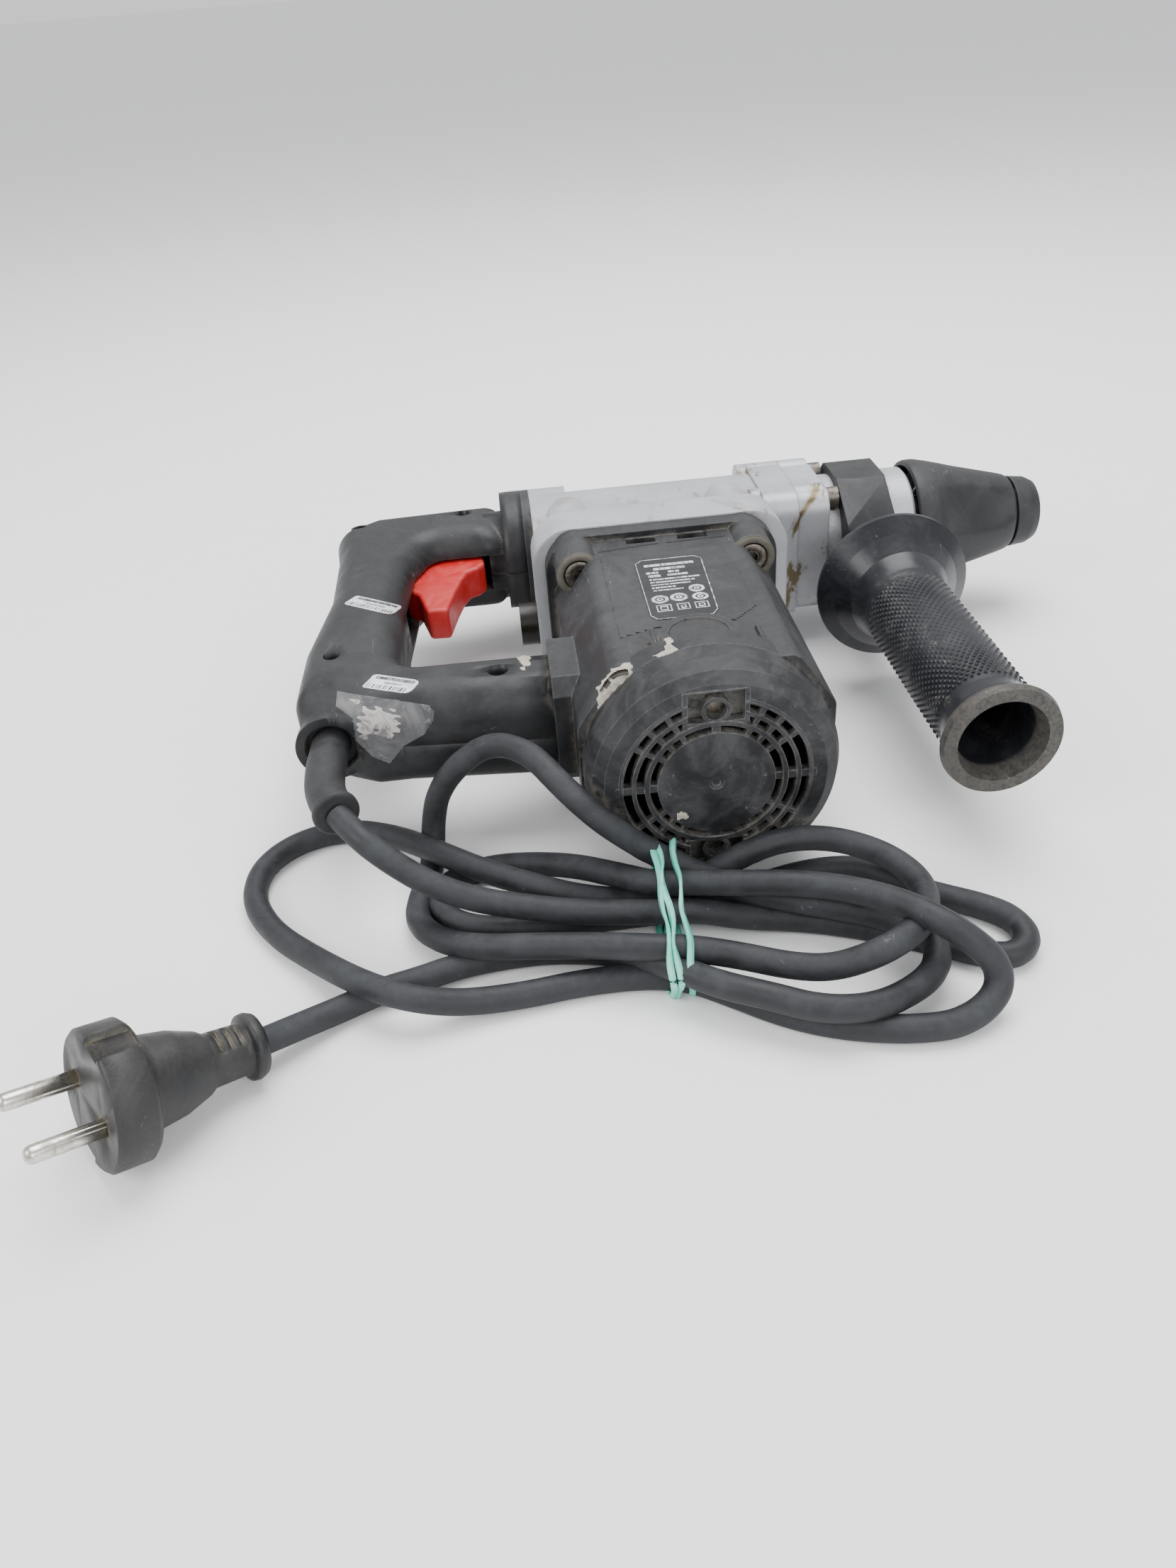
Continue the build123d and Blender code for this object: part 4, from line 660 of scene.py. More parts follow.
laid_on(
    "rating_plate", motor_ground, PLATE, 0.2, 0.55, [plate_dark, print_white], "black_plastic",
    paint=plate_print)

dried_cement, tree, shader, place = new_material("dried_cement")
crumb = noise(tree, place, 380.0, 8.0, 0.75, 0.6)
stain = noise(tree, place, 70.0, 4.0, 0.6)
colour = blend_colours(tree, steps(tree, stain, 0.38, 0.66), (0.42, 0.385, 0.31), (0.56, 0.53, 0.46))
pitted = sum_of(tree, "MULTIPLY", steps(tree, crumb, 0.52, 0.66), 0.6)
colour = blend_colours(tree, pitted, colour, (0.24, 0.22, 0.18))
tree.links.new(colour, shader.inputs["Base Color"])
shader.inputs["Roughness"].default_value = 0.95
raised(tree, shader, crumb, 0.0008, 1.0)
# Near black: dark joint lines on the handle, and painted shade inside the air slits.
slit_dark = dusty(
    "slit_dark", (0.006, 0.006, 0.007), (0.03, 0.03, 0.03), 0.3, 0.7, scuffs=0.1,
    edge_share=0.0, top_dust=0.0)


def crumbs(name, ground, outline, crown, seed, **more):
    """A lump of cement with a ragged rim, crowned by so many millimetres."""
    return laid_on(
        name, ground, outline, 0.45, 0.12, dried_cement, "black_plastic",
        ragged=1.3, crown=crown, seed=seed, **more)


# The air slits are not cut: a near-black strip is laid in each as painted shade for the dark inside of the
# slit.
for number, (start, stop, y0, y1) in enumerate(((-23.8, -1.6, -73.2, -70.6), (1.2, 23.0, -70.8, -70.2))):
    slit = [(start, y0), (stop, y1), (stop, y1 - 0.9), (start, y0 - 0.9)]
    laid_on(f"air_slit_{number}", motor_ground, slit, 0.3, 0.06, slit_dark, "black_plastic")


EYE = (-52.7, -462.7, 205.9)  # the camera's place in the tool's axes, in millimetres
SIGHT_START = 0.07  # metres in front of the plane


def seen_from(point, height):
    """Start points and line of sight for a patch whose outline is given on a level plane."""
    look = (Vector(point) - Vector(EYE)).normalized()
    return {"look": look, "to_plane": lambda u, v: at(u, v, height) - look * SIGHT_START}


bell_sight = seen_from((-25.0, -165.0, 30.0), 30.0)
crumbs("cement_on_bell", motor_ground, [
    (-22.0, -150.5), (-27.5, -154.0), (-33.2, -163.0), (-35.0, -176.0), (-34.2, -184.0), (-29.6, -190.5),
    (-26.0, -180.0), (-22.0, -168.0), (-21.6, -157.0)], 1.5, 11, **bell_sight)
crumbs("cement_by_brush", motor_ground, [
    (-14.9, -148.8), (-10.6, -146.5), (-10.4, -139.0), (-8.6, -139.0), (-7.0, -150.0), (-10.4, -153.2)],
    1.1, 12, **bell_sight)
crumbs("cement_smear", motor_ground, [
    (-6.9, -152.6), (-1.6, -155.2), (-1.8, -158.0), (-6.0, -156.0)], 0.5, 13, **bell_sight)
cap_ground = surface_of("end_cap")
crumbs(
    "plaster_on_hub", cap_ground, [(-13.0, -9.5), (-9.0, -9.8), (-9.5, -11.8), (-12.2, -12.4)],
    0.5, 14, look=(0.0, 1.0, 0.0), to_plane=lambda u, v: at(u, -200.0, v))

# Worn tan rims where the screw wells open, and washers under the heads.
tan_dust = dusty(
    "tan_dust", (0.10, 0.095, 0.08), (0.33, 0.30, 0.24), 0.8, 0.75, (0.42, 0.40, 0.34), 0.6,
    edge_share=0.3)
MOTOR_SCREW_X, MOTOR_SCREW_Z = 31.4, 27.3
WELL_RIM = [(-79.0, 5.6), (-79.7, 6.0), (-79.9, 7.0), (-79.5, 7.9), (-78.6, 8.5), (-78.2, 8.4)]
WASHER = [(-79.3, 2.6), (-79.3, 5.2), (-78.9, 5.4), (-78.9, 2.6)]
for x in (-MOTOR_SCREW_X, MOTOR_SCREW_X):
    for z in (-MOTOR_SCREW_Z, MOTOR_SCREW_Z):
        side = f"{'left' if x < 0 else 'right'}_{'near' if z > 0 else 'far'}"
        rim = turned(WELL_RIM, "y", (x, 0, z), 36)
        new_piece("well_rim_" + side, *rim, tan_dust, "black_plastic")
        washer = turned(WASHER, "y", (x, 0, z), 28)
        new_piece("washer_" + side, *washer, blackened, "dark_steel")

def field(tree, operation, a, b=0.0):
    """One step of arithmetic on a geometry layout's numbers, not clamped."""
    node = tree.nodes.new("ShaderNodeMath")
    node.operation = operation
    for socket, value in zip(node.inputs, (a, b)):
        put_in(tree, socket, value)
    return node.outputs[0]


# Ribs that stiffen the bell's shoulder, laid out around it by geometry nodes.
def rib_ring(name, count, first, spread, centre, radius, size, material):
    """A row of small bars around the motor's axis."""
    tree = bpy.data.node_groups.new(name, "GeometryNodeTree")
    inputs = {}
    for label, kind, value in (
            ("Count", "NodeSocketInt", count), ("First Angle", "NodeSocketFloat", first),
            ("Spread", "NodeSocketFloat", spread), ("Radius", "NodeSocketFloat", radius)):
        socket = tree.interface.new_socket(label, in_out="INPUT", socket_type=kind)
        inputs[label] = (socket.identifier, value)
    tree.interface.new_socket("Geometry", in_out="OUTPUT", socket_type="NodeSocketGeometry")
    enter, leave = tree.nodes.new("NodeGroupInput"), tree.nodes.new("NodeGroupOutput")
    points = tree.nodes.new("GeometryNodePoints")
    tree.links.new(enter.outputs["Count"], points.inputs["Count"])
    index = tree.nodes.new("GeometryNodeInputIndex")

    reached = field(tree, "MULTIPLY", index.outputs[0], enter.outputs["Spread"])
    angle = field(tree, "ADD", reached, enter.outputs["First Angle"])
    place = tree.nodes.new("ShaderNodeCombineXYZ")
    place.inputs[1].default_value = centre[1]
    for axis, wave in ((0, "COSINE"), (2, "SINE")):
        away = field(tree, "MULTIPLY", field(tree, wave, angle), enter.outputs["Radius"])
        tree.links.new(field(tree, "ADD", away, centre[axis]), place.inputs[axis])
    tree.links.new(place.outputs[0], points.inputs["Position"])
    bar = tree.nodes.new("GeometryNodeMeshCube")
    bar.inputs["Size"].default_value = size
    turn = tree.nodes.new("ShaderNodeCombineXYZ")
    tree.links.new(field(tree, "MULTIPLY", angle, -1.0), turn.inputs[1])
    spread_out = tree.nodes.new("GeometryNodeInstanceOnPoints")
    tree.links.new(points.outputs[0], spread_out.inputs["Points"])
    tree.links.new(bar.outputs["Mesh"], spread_out.inputs["Instance"])
    tree.links.new(turn.outputs[0], spread_out.inputs["Rotation"])
    real = tree.nodes.new("GeometryNodeRealizeInstances")
    tree.links.new(spread_out.outputs[0], real.inputs[0])
    finish = tree.nodes.new("GeometryNodeSetMaterial")
    finish.inputs["Material"].default_value = material
    tree.links.new(real.outputs[0], finish.inputs["Geometry"])
    tree.links.new(finish.outputs[0], leave.inputs[0])
    return grown_piece(name, tree, inputs, material, "tool")


def grown_piece(name, tree, inputs, material, body):
    """Turns a geometry node tree into one plain mesh that rides on a body."""
    seed_mesh = bpy.data.meshes.new(name + "_seed")
    maker = bpy.data.objects.new(name + "_seed", seed_mesh)
    bpy.context.scene.collection.objects.link(maker)
    modifier = maker.modifiers.new("layout", "NODES")
    modifier.node_group = tree
    for identifier, value in inputs.values():
        modifier[identifier] = value
    ready = maker.evaluated_get(bpy.context.evaluated_depsgraph_get())
    mesh = bpy.data.meshes.new_from_object(ready)
    bpy.data.objects.remove(maker)
    mesh.name = name
    mesh.materials.clear()
    mesh.materials.append(material)
    mesh.polygons.foreach_set("material_index", [0] * len(mesh.polygons))
    piece = bpy.data.objects.new(name, mesh)
    bpy.context.scene.collection.objects.link(piece)
    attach(piece, body)
    return piece


RIB_GROUPS = (0.62, 1.95, 3.76, 5.09)  # the angle of the first rib in each group, in radians
RIB_GAP, RIB_RADIUS, RIB_SIZE = 0.21, 0.0372, (0.0042, 0.012, 0.0016)
for number, first in enumerate(RIB_GROUPS):
    rib_ring(
        f"bell_ribs_{number}", 3, first, RIB_GAP, at(0.0, -148.5, 0.0), RIB_RADIUS, RIB_SIZE,
        motor_black)


# ---------------------------------------------------------------- D-handle
# Two black nylon shells screwed together, slimmer at the back of the grip than at its ends.
# They carry two paper labels, a strip of clear tape gone dull and its torn white backing.
def smooth_share(value, low, high):
    share = max(0.0, min(1.0, (value - low) / (high - low)))
    return share * share * (3.0 - 2.0 * share)


def read_off(table, value):
    for (low, a), (high, b) in zip(table, table[1:]):
        if low <= value <= high:
            return a + (b - a) * (value - low) / (high - low)
    return table[0][1] if value < table[0][0] else table[-1][1]


def reshaped(node, move, material, body="tool", split_edges=0.0):
    """A finished copy of a CAD node with its corners moved by a rule, in tool millimetres."""
    mesh = nodes[node].data.copy()
    mesh.name = node + "_finished"
    shape = bmesh.new()
    shape.from_mesh(mesh)
    bmesh.ops.remove_doubles(shape, verts=shape.verts, dist=0.000002)
    if split_edges:
        long = [edge for edge in shape.edges if edge.calc_length() > split_edges]
        bmesh.ops.subdivide_edges(shape, edges=long, cuts=2, use_grid_fill=False)
        bmesh.ops.triangulate(shape, faces=shape.faces)
    for vertex in shape.verts:
        x, y, z = vertex.co * 1000.0 - Vector(TOOL_AXES)
        vertex.co = at(*move(x, y, z))
    shape.to_mesh(mesh)
    shape.free()
    mesh.materials.clear()
    mesh.materials.append(material)
    mesh.set_sharp_from_angle(angle=math.radians(32.0))
    piece = bpy.data.objects.new(node + "_finished", mesh)
    bpy.context.scene.collection.objects.link(piece)
    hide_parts(node)
    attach(piece, body)
    return piece


BACK_IN = [(-137.0, 0.0), (-129.0, 0.4), (-118.0, 4.6), (-92.0, 5.8), (-50.0, 8.0), (-8.0, 4.6), (20.0, 4.2)]
TOP_DOWN = [(-134.0, 7.0), (-126.0, 6.0), (-112.0, 3.8), (-70.0, 1.6), (-58.5, 1.2), (-57.5, 0.0)]


def slim_handle(x, y, z):
    inwards = read_off(BACK_IN, y) * smooth_share(-x, 99.0, 131.0)
    down = read_off(TOP_DOWN, x) * smooth_share(y, 0.0, 26.0)
    return x + inwards, y - down, z


handle_black = dusty(
    "handle_black", (0.020, 0.021, 0.023), (0.105, 0.107, 0.112), 0.50, 0.50, (0.33, 0.33, 0.33), 0.55,
    (0.30, 0.28, 0.24), 0.45, 0.4, 0.0006, top_dust=0.18)
handle_parts = [
    reshaped(name, slim_handle, handle_black, split_edges=0.009)
    for name in ("handle_shell_right", "handle_shell_left")]


def joined_surface(pieces):
    corners, faces = [], []
    for piece in pieces:
        first = len(corners)
        corners += [vertex.co.copy() for vertex in piece.data.vertices]
        faces += [tuple(first + index for index in polygon.vertices) for polygon in piece.data.polygons]
    return BVHTree.FromPolygons(corners, faces)


handle_ground = joined_surface(handle_parts)


def seam_ring(name, middle, start_far, from_angle, to_angle, material, half=0.22):
    """A fine dark line where the shells meet, found by rays in their joint plane."""
    corners, faces = [], []
    count = 220
    for k in range(count + 1):
        angle = math.radians(from_angle + (to_angle - from_angle) * k / count)
        outwards = Vector((math.cos(angle), math.sin(angle), 0.0))
        start = at(middle[0], middle[1], 0.0) + outwards * (0.2 if start_far else 0.0)
        direction = -outwards if start_far else outwards
        hits = [
            handle_ground.ray_cast(start + Vector((0.0, 0.0, z / 1000.0)), direction)[0]
            for z in (half, -half)]
        if None in hits:
            corners += [None, None]
            continue
        corners += [hit - direction * 0.00006 for hit in hits]
    kept = {}
    flat = []
    for number, corner in enumerate(corners):
        if corner is not None:
            kept[number] = len(flat)
            flat.append(corner)
    for k in range(count):
        ring = [2 * k, 2 * k + 1, 2 * k + 3, 2 * k + 2]
        if all(spot in kept for spot in ring):
            near = [flat[kept[spot]] for spot in ring]
            if (near[0] - near[3]).length < 0.006:
                faces.append([kept[spot] for spot in ring])
    return new_piece(name, flat, faces, material, "black_plastic")


seam_ring("handle_seam_outside", (-86.0, -62.0), True, 86.0, 300.0, slit_dark)
seam_ring("handle_seam_inside", (-74.0, -75.0), False, 0.0, 360.0, slit_dark)

label_paper, tree, shader, place = new_material("label_paper")
grubby = noise(tree, place, 120.0, 6.0, 0.7, 0.6)
colour = blend_colours(tree, steps(tree, grubby, 0.42, 0.72), (0.74, 0.76, 0.80), (0.42, 0.43, 0.44))
tree.links.new(colour, shader.inputs["Base Color"])
shader.inputs["Roughness"].default_value = 0.42
raised(tree, shader, grubby, 0.00008, 0.3)
label_ink, tree, shader, place = new_material("label_ink")
faded = noise(tree, place, 500.0, 5.0, 0.7)
colour = blend_colours(tree, steps(tree, faded, 0.45, 0.65), (0.035, 0.036, 0.04), (0.26, 0.27, 0.28))
tree.links.new(colour, shader.inputs["Base Color"])
shader.inputs["Roughness"].default_value = 0.5


def paper_label(name, corner, angle, long, high, seed, sight):
    """A white label with rounded corners, a dark strip and a row of bars, and no words."""
    dice = random.Random(seed)
    cos_a, sin_a = math.cos(math.radians(angle)), math.sin(math.radians(angle))
    bars = []
    reach = 1.0
    while reach < long - 2.0:
        wide = dice.choice((0.35, 0.5, 0.8))
        bars.append((reach, reach + wide))
        reach += wide + dice.choice((0.4, 0.6, 0.9))

    def own(u, v):
        across, up = u - corner[0], v - corner[1]
        return across * cos_a + up * sin_a, -across * sin_a + up * cos_a

    def ink(u, v):
        along, up = own(u, v)
        if 0.5 < up < high * 0.34:
            return 1 if any(a < along < b for a, b in bars) else 0
        if high * 0.70 < up < high * 0.90 and 0.10 * long < along < 0.92 * long:
            return 1
        return 1 if high * 0.46 < up < high * 0.54 and 0.34 * long < along < 0.72 * long else 0

    outline = []
    for x, y, start in (
            (1.2, 1.2, 180), (long - 2.4, 2.4, 270), (long - 2.4, high - 2.4, 0),
            (1.2, high - 1.2, 90)):
        r = 1.2 if x < 2.0 else 2.4
        for turn in (0, 30, 60, 90):
            a = math.radians(start + turn)
            along, up = x + r * math.cos(a), y + r * math.sin(a)
            outline.append((
                corner[0] + along * cos_a - up * sin_a, corner[1] + along * sin_a + up * cos_a))
    laid_on(
        name, handle_ground, outline, 0.22, 0.12, [label_paper, label_ink], "black_plastic",
        paint=ink, **sight)


grip_sight = seen_from((-108.0, -65.0, 17.0), 17.0)
arm_sight = seen_from((-98.0, -128.0, 17.0), 17.0)
paper_label("label_on_grip", (-119.5, -60.5), -36.0, 23.0, 7.6, 3, grip_sight)
paper_label("label_on_arm", (-108.6, -125.2), -26.0, 17.5, 8.8, 4, arm_sight)

dull_tape, tree, shader, place = new_material("dull_tape")
film = noise(tree, place, 55.0, 6.0, 0.7, 1.0)
scratches = noise(tree, stretched(tree, place, (1.0, 0.2, 1.0), (0.0, 0.0, 20.0)), 300.0, 5.0, 0.7)
colour = blend_colours(tree, steps(tree, film, 0.35, 0.70), (0.055, 0.056, 0.060), (0.15, 0.15, 0.15))
scratched = sum_of(tree, "MULTIPLY", steps(tree, scratches, 0.55, 0.70), 0.5)
colour = blend_colours(tree, scratched, colour, (0.26, 0.26, 0.26))
tree.links.new(colour, shader.inputs["Base Color"])
shader.inputs["Roughness"].default_value = 0.36
raised(tree, shader, film, 0.0003, 0.5)
laid_on("clear_tape", handle_ground, [
    (-116.5, -126.0), (-109.0, -130.1), (-96.3, -136.2), (-86.0, -141.6), (-84.0, -146.0), (-84.1, -152.0),
    (-86.5, -161.0), (-92.7, -167.0), (-97.0, -178.0), (-103.0, -172.0), (-109.0, -160.0), (-110.5, -145.0),
    (-116.5, -136.0)], 0.5, 0.10, dull_tape, "black_plastic", **arm_sight)
torn_paper, tree, shader, place = new_material("torn_paper")
fibre = noise(tree, place, 130.0, 8.0, 0.78, 1.2)
colour = blend_colours(tree, steps(tree, fibre, 0.44, 0.60), (0.46, 0.44, 0.42), (0.16, 0.155, 0.15))
tree.links.new(colour, shader.inputs["Base Color"])
shader.inputs["Roughness"].default_value = 0.8
raised(tree, shader, fibre, 0.0004, 0.8)
laid_on("torn_backing", handle_ground, [
    (-107.0, -138.0), (-103.0, -140.0), (-97.5, -143.0), (-95.2, -149.0), (-95.0, -157.0), (-97.4, -161.0),
    (-101.0, -160.0), (-103.0, -155.0), (-106.4, -161.0), (-109.0, -152.0)], 0.4, 0.16, torn_paper,
    "black_plastic", ragged=2.2, seed=8, **arm_sight)
laid_on(
    "torn_corner", handle_ground, [(-113.5, -131.0), (-108.6, -134.0), (-109.6, -137.0)],
    0.35, 0.16, torn_paper, "black_plastic", ragged=0.6, seed=9, **arm_sight)
joint_sight = seen_from((-54.0, -120.0, 20.0), 20.0)
laid_on("cement_on_arm", handle_ground, [
    (-58.8, -114.4), (-56.4, -117.4), (-56.6, -124.0), (-54.8, -131.0), (-52.4, -126.0), (-52.0, -119.6),
    (-47.6, -113.2), (-53.2, -115.8)], 0.4, 0.12, dried_cement, "black_plastic",
    ragged=0.9, crown=0.8, seed=15, **joint_sight)


# ---------------------------------------------------------------- Trigger
# Red nylon moulding that swings between the handle's shells, with rounded edges,
# a painted pink highlight along every edge, and smudged dark below.
trigger_red, tree, shader, place = new_material("trigger_red")
rub = noise(tree, place, 70.0, 5.0, 0.65, 0.6)
spots = noise(tree, place, 300.0, 6.0, 0.8)
normal, edge = softened_edges(tree, 0.0012)
colour = blend_colours(tree, steps(tree, rub, 0.42, 0.72), (0.45, 0.008, 0.008), (0.52, 0.05, 0.045))
# Painted highlight: every edge is lightened towards pink by the same amount all round.
colour = blend_colours(tree, sum_of(tree, "MULTIPLY", edge, 0.45), colour, (0.74, 0.22, 0.20))
smudged = sum_of(tree, "MULTIPLY", steps(tree, spots, 0.62, 0.72), 0.55)
colour = blend_colours(tree, smudged, colour, (0.16, 0.02, 0.02))
tree.links.new(colour, shader.inputs["Base Color"])
tree.links.new(steps(tree, rub, 0.3, 0.7, 0.32, 0.52), shader.inputs["Roughness"])
raised(tree, shader, spots, 0.0001, 0.4, normal)
TRIGGER_SIDE = [
    (-99.5, -4.5), (-86.0, -1.8), (-70.5, -2.2), (-67.2, -5.0), (-66.9, -13.0), (-69.6, -16.6), (-73.6, -19.0),
    (-76.4, -26.0), (-78.8, -36.0), (-82.0, -52.5), (-90.0, -51.8), (-93.8, -36.0), (-99.5, -30.0)]
corners = [at(x, y, z) for z in (-6.5, 6.5) for x, y in TRIGGER_SIDE]
count = len(TRIGGER_SIDE)
faces = [list(range(count)), list(range(2 * count - 1, count - 1, -1))]
faces += [(k, (k + 1) % count, count + (k + 1) % count, count + k) for k in range(count)]
red_trigger = new_piece(
    "red_trigger", corners, faces, trigger_red, "red_plastic", "trigger", False, 0.0014)
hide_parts("trigger")


# ---------------------------------------------------------------- Plug as it lies
# The moulded-on plug and its two pins, rolled about the line of the cord until the pins
# lie side by side.
PLUG_FACE = Vector((-174.5, -258.6, -18.2))
cord_end = Vector(CORD_ROUTE[-1]) * 1000.0 - Vector(TOOL_AXES)
plug_line = (PLUG_FACE - cord_end).normalized()
pins_across, pins_wanted = (
    (way - plug_line * way.dot(plug_line)).normalized()
    for way in (Vector((0.12, 0.61, 0.78)), Vector((0.0, 0.99, -0.08))))
roll = math.atan2(plug_line.dot(pins_across.cross(pins_wanted)), pins_across.dot(pins_wanted))
plug_roll = Matrix.Rotation(roll, 3, plug_line)


def rolled(x, y, z):
    return cord_end + plug_roll @ (Vector((x, y, z)) - cord_end)


plug_moulding = reshaped("plug_body", rolled, nodes["plug_body"].data.materials[0])
plug_contacts = reshaped("plug_pins", rolled, nodes["plug_pins"].data.materials[0])


# ---------------------------------------------------------------- Nose
# Clamp collar of the side handle, rubber-covered pull-back sleeve with three flats
# for the fingers, and the soft dust cap round the mouth of the tool socket.
COLLAR_BORE, COLLAR_THINNER, LUG_TOP = 23.5, 0.45, -25.5


def slim_collar(x, y, z):
    """Thins the ring of the collar and leaves its bore and its lug alone."""
    radius = math.hypot(y, z)
    if radius <= COLLAR_BORE + 0.1 or y < LUG_TOP:
        return x, y, z
    wanted = COLLAR_BORE + (radius - COLLAR_BORE) * COLLAR_THINNER
    return x, y * wanted / radius, z * wanted / radius


nose_black = dusty(
    "nose_black", (0.022, 0.023, 0.026), (0.11, 0.112, 0.118), 0.55, 0.52, (0.33, 0.33, 0.33), 0.6,
    edge_share=0.35, soft=0.0008, top_dust=0.22)
reshaped("handle_collar", slim_collar, nose_black, "side_handle")
CAP_BACK, CAP_SHORTER = 160.2, 0.68


def short_cap(x, y, z):
    return x if x < CAP_BACK else CAP_BACK + (x - CAP_BACK) * CAP_SHORTER, y, z


reshaped("dust_cap", short_cap, nose_black, "spindle")

SLEEVE_LINE = [
    (114.0, 24.4), (114.6, 25.6), (116.0, 26.0), (119.0, 26.0), (124.0, 24.9), (130.0, 23.3), (136.0, 21.6),
    (142.0, 20.1), (148.0, 18.6), (154.0, 17.1), (157.5, 16.1), (158.6, 15.4), (159.0, 14.6)]
SLEEVE_BORE = ((158.8, 12.0), (147.0, 12.0), (128.4, 12.6), (121.4, 23.2), (114.2, 23.8))
FLAT_DEPTH = 2.4
ROUND_STEPS = 120
corners, faces = [], []
for k in range(ROUND_STEPS):
    angle = 2.0 * math.pi * k / ROUND_STEPS
    off = min(
        abs((angle - math.radians(30 + 120 * flat) + math.pi) % (2 * math.pi) - math.pi)
        for flat in range(3))
    for x, radius in SLEEVE_LINE:
        flat_at = radius - FLAT_DEPTH * smooth_share(x, 120.0, 134.0) * (1.0 - smooth_share(x, 150.0, 158.0))
        cut = flat_at / math.cos(min(off, 1.2))
        corners.append(at(x, min(radius, cut) * math.cos(angle), min(radius, cut) * math.sin(angle)))
    for x, radius in SLEEVE_BORE:
        corners.append(at(x, radius * math.cos(angle), radius * math.sin(angle)))
rows = len(SLEEVE_LINE) + len(SLEEVE_BORE)
for k in range(ROUND_STEPS):
    here, there = rows * k, rows * ((k + 1) % ROUND_STEPS)
    faces += [(here + r, here + (r + 1) % rows, there + (r + 1) % rows, there + r) for r in range(rows)]
pull_sleeve = new_piece("pull_sleeve", corners, faces, nose_black, "rubber", "sleeve")
pull_sleeve.data.set_sharp_from_angle(angle=math.radians(28.0))
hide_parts("lock_sleeve")


# ---------------------------------------------------------------- Side handle grip
# Glossy black polypropylene turned in one piece with its guard disc; a knurled middle packed
# with dust and a scuffed open end, and a raised pip pattern laid out by geometry nodes.
grip_black, tree, shader, place = new_material("grip_black")
split = tree.nodes.new("ShaderNodeSeparateXYZ")
tree.links.new(place, split.inputs["Vector"])
knurled = sum_of(
    tree, "MULTIPLY", steps(tree, split.outputs["Y"], -0.0920, -0.0880),
    steps(tree, split.outputs["Y"], -0.004, -0.010))
end_ring = steps(tree, split.outputs["Y"], -0.0945, -0.0975)
patchy = noise(tree, place, 62.0, 6.0, 0.72, 1.0)
specks = noise(tree, place, 420.0, 7.0, 0.85, 0.8)
scuffed = noise(tree, stretched(tree, place, (1.0, 0.2, 1.0), (0.0, 0.0, 30.0)), 260.0, 6.0, 0.7, 1.5)
colour = blend_colours(tree, steps(tree, patchy, 0.4, 0.75), (0.014, 0.0145, 0.018), (0.032, 0.033, 0.037))
packed = sum_of(tree, "MULTIPLY", steps(tree, specks, 0.53, 0.62), steps(tree, patchy, 0.50, 0.62))
packed = sum_of(tree, "MULTIPLY", sum_of(tree, "MULTIPLY", packed, knurled), 0.8)
colour = blend_colours(tree, packed, colour, (0.17, 0.155, 0.125))
ring_dust = sum_of(tree, "MULTIPLY", end_ring, steps(tree, specks, 0.34, 0.62, 0.15, 0.9))
colour = blend_colours(tree, ring_dust, colour, (0.085, 0.078, 0.066))
nick = sum_of(tree, "MULTIPLY", steps(tree, scuffed, 0.66, 0.72), 0.5)
colour = blend_colours(tree, nick, colour, (0.25, 0.25, 0.25))
tree.links.new(colour, shader.inputs["Base Color"])
end_dull = sum_of(tree, "MULTIPLY", end_ring, 0.35)
gloss = sum_of(tree, "ADD", steps(tree, knurled, 0.0, 1.0, 0.22, 0.42), end_dull)
tree.links.new(gloss, shader.inputs["Roughness"])
raised(tree, shader, specks, 0.00012, 0.4)
shader.inputs["Specular IOR Level"].default_value = 0.3
dress(grip_black, "side_grip")

tree = bpy.data.node_groups.new("grip_pips", "GeometryNodeTree")
pip_inputs = {}
for label, kind, value in (
        ("Pips Round", "NodeSocketInt", 44), ("Rows", "NodeSocketInt", 44),
        ("Radius", "NodeSocketFloat", 0.01598),
        ("First Row", "NodeSocketFloat", at(0.0, -84.0, 0.0).y), ("Row Gap", "NodeSocketFloat", 0.00165)):
    socket = tree.interface.new_socket(label, in_out="INPUT", socket_type=kind)
    pip_inputs[label] = (socket.identifier, value)
tree.interface.new_socket("Geometry", in_out="OUTPUT", socket_type="NodeSocketGeometry")
enter, leave = tree.nodes.new("NodeGroupInput"), tree.nodes.new("NodeGroupOutput")
points = tree.nodes.new("GeometryNodePoints")
pip_count = field(tree, "MULTIPLY", enter.outputs["Pips Round"], enter.outputs["Rows"])
tree.links.new(pip_count, points.inputs["Count"])
index = tree.nodes.new("GeometryNodeInputIndex").outputs[0]
row = field(tree, "FLOOR", field(tree, "DIVIDE", field(tree, "ADD", index, 0.5), enter.outputs["Pips Round"]))
column = field(tree, "SUBTRACT", index, field(tree, "MULTIPLY", row, enter.outputs["Pips Round"]))
stagger = field(tree, "MULTIPLY", field(tree, "MODULO", row, 2.0), 0.5)
turn = field(tree, "MULTIPLY", field(tree, "ADD", column, stagger), 2.0 * math.pi)
turn = field(tree, "DIVIDE", turn, enter.outputs["Pips Round"])
outwards = tree.nodes.new("ShaderNodeCombineXYZ")
tree.links.new(field(tree, "COSINE", turn), outwards.inputs[0])
tree.links.new(field(tree, "SINE", turn), outwards.inputs[2])
grip_middle = at(91.25, 0.0, 0.0)
spot = tree.nodes.new("ShaderNodeCombineXYZ")
for axis, wave in ((0, "COSINE"), (2, "SINE")):
    away = field(tree, "MULTIPLY", field(tree, wave, turn), enter.outputs["Radius"])
    tree.links.new(field(tree, "ADD", away, grip_middle[axis]), spot.inputs[axis])
down_grip = field(tree, "MULTIPLY", row, enter.outputs["Row Gap"])
tree.links.new(field(tree, "SUBTRACT", enter.outputs["First Row"], down_grip), spot.inputs[1])
tree.links.new(spot.outputs[0], points.inputs["Position"])
pip = tree.nodes.new("GeometryNodeMeshCone")
pip.inputs["Vertices"].default_value = 4
pip.inputs["Radius Top"].default_value = 0.00022
pip.inputs["Radius Bottom"].default_value = 0.00085
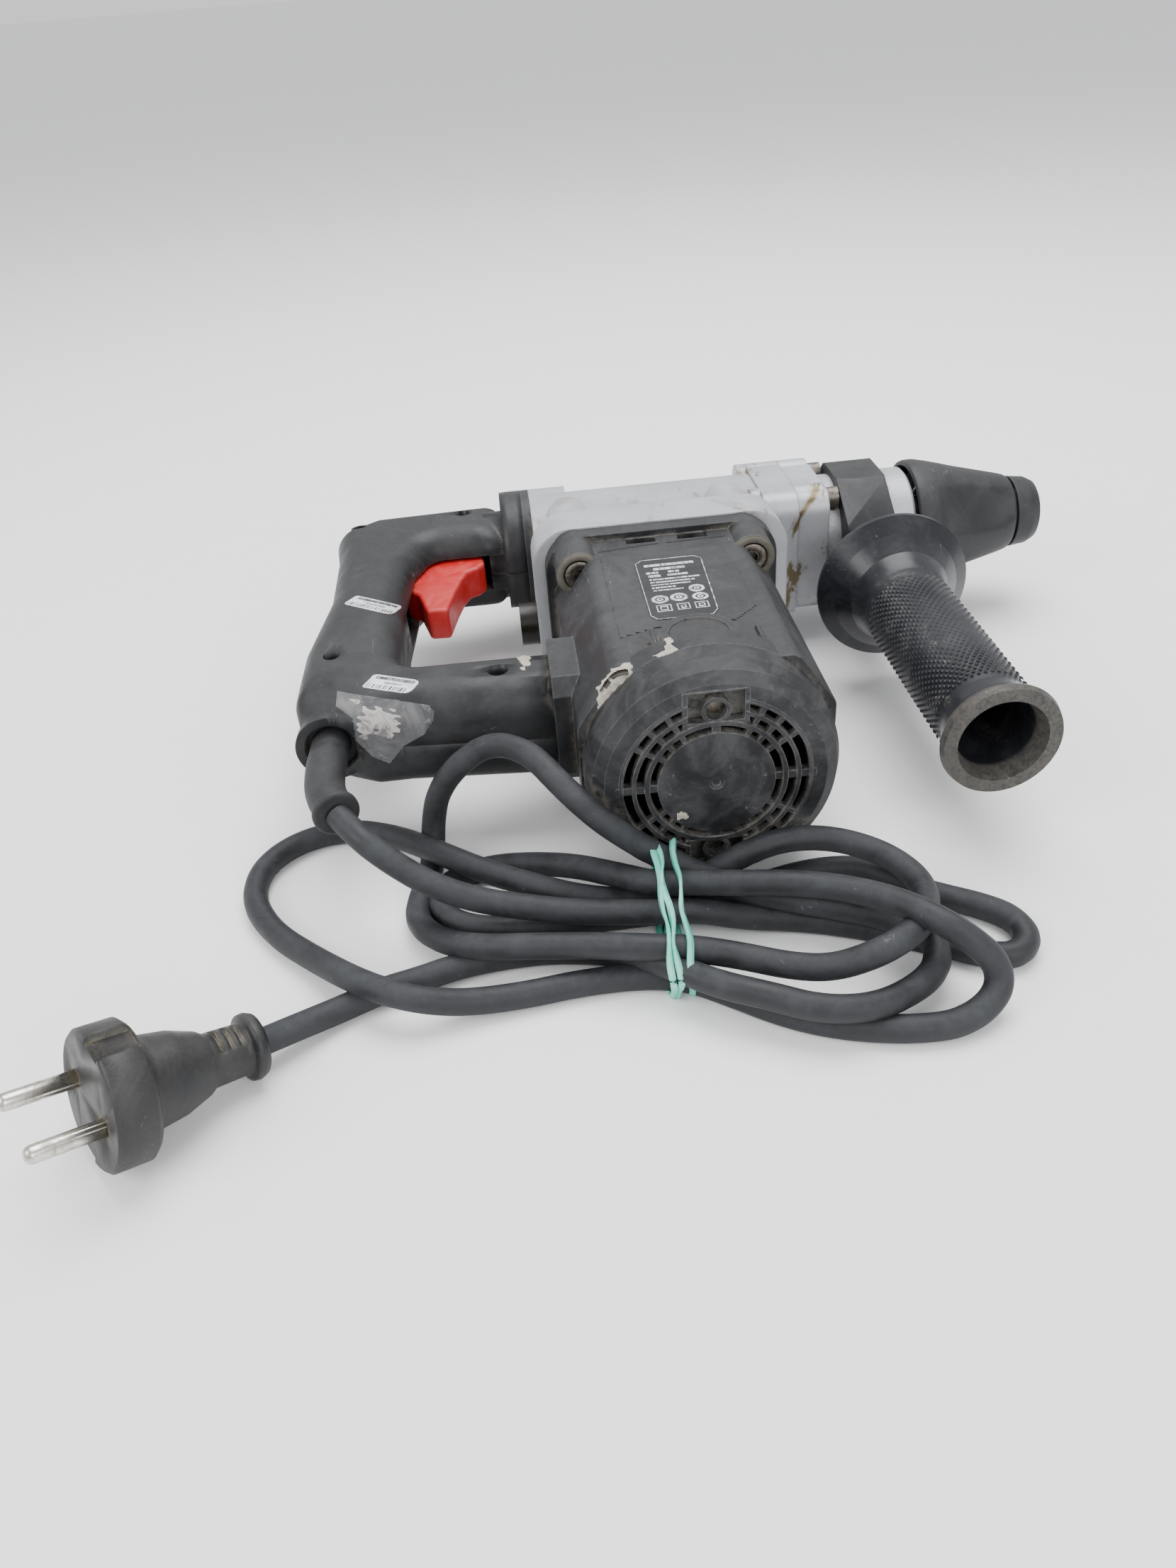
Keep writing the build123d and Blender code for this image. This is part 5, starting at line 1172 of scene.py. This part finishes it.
pip.inputs["Depth"].default_value = 0.0004
lean = tree.nodes.new("FunctionNodeAlignRotationToVector")
lean.axis = "Z"
tree.links.new(outwards.outputs[0], lean.inputs["Vector"])
on_points = tree.nodes.new("GeometryNodeInstanceOnPoints")
tree.links.new(points.outputs[0], on_points.inputs["Points"])
tree.links.new(pip.outputs["Mesh"], on_points.inputs["Instance"])
tree.links.new(lean.outputs[0], on_points.inputs["Rotation"])
real = tree.nodes.new("GeometryNodeRealizeInstances")
tree.links.new(on_points.outputs[0], real.inputs[0])
finish = tree.nodes.new("GeometryNodeSetMaterial")
finish.inputs["Material"].default_value = grip_black
tree.links.new(real.outputs[0], finish.inputs["Geometry"])
tree.links.new(finish.outputs[0], leave.inputs[0])
grown_piece("grip_pips", tree, pip_inputs, grip_black, "grip")


# ---------------------------------------------------------------- Works inside the housings
# Turned and ground steel, varnished copper, stacked laminations and pressed carbon,
# seen through the grille, at the mouth of the socket and behind the neck.
dress(ground_steel("machined_steel", (0.50, 0.50, 0.49), (0.30, 0.28, 0.25), 0.30, (1.0, 0.2, 0.2)),
      "armature_shaft", "crank_gear", "intermediate_gear", "bevel_pinion", "bevel_ring_gear", "hammer_cylinder",
      "tool_holder", "wrist_pin", "striker", "impact_bolt", "collar_bolt", "spindle_bearing")
dress(ground_steel("drawn_wire", (0.40, 0.40, 0.40), (0.24, 0.23, 0.22), 0.32),
      "trigger_spring", "lock_spring", "brush_springs")
dress(ground_steel("bearing_steel", (0.62, 0.62, 0.62), (0.46, 0.45, 0.42), 0.20),
      "front_motor_bearing", "rear_motor_bearing", "crank_bearing", "intermediate_bearing", "locking_balls")
dress(ground_steel("stacked_sheet", (0.26, 0.26, 0.27), (0.15, 0.14, 0.13), 0.48, (0.1, 3.0, 0.1)),
      "stator_core", "armature_core")
dress(ground_steel("varnished_copper", (0.58, 0.27, 0.13), (0.30, 0.13, 0.06), 0.36, (0.3, 2.0, 0.3)),
      "field_coils", "armature_windings", "commutator")
dress(ground_steel("turned_brass", (0.66, 0.49, 0.22), (0.42, 0.30, 0.13), 0.30), "brush_holders")
dress(ground_steel("cast_alloy", (0.58, 0.58, 0.60), (0.40, 0.40, 0.41), 0.42), "piston", "conrod")
dress(dusty("pressed_carbon", (0.03, 0.03, 0.034), (0.09, 0.09, 0.095), 0.4, 0.5, edge_share=0.0, top_dust=0.0),
      "carbon_brushes")
dress(dusty("inside_black", (0.018, 0.018, 0.02), (0.08, 0.08, 0.08), 0.4, 0.55, edge_share=0.0, top_dust=0.1),
      "switch_block", "fan", "nose_seal", "piston_ring")
dress(dusty("oily_black", (0.010, 0.009, 0.008), (0.06, 0.045, 0.02), 0.5, 0.28, (0.2, 0.16, 0.08), 0.5,
            edge_share=0.3, top_dust=0.0), "grease_plug")
dress(motor_black, "mode_knob", "rear_cover")
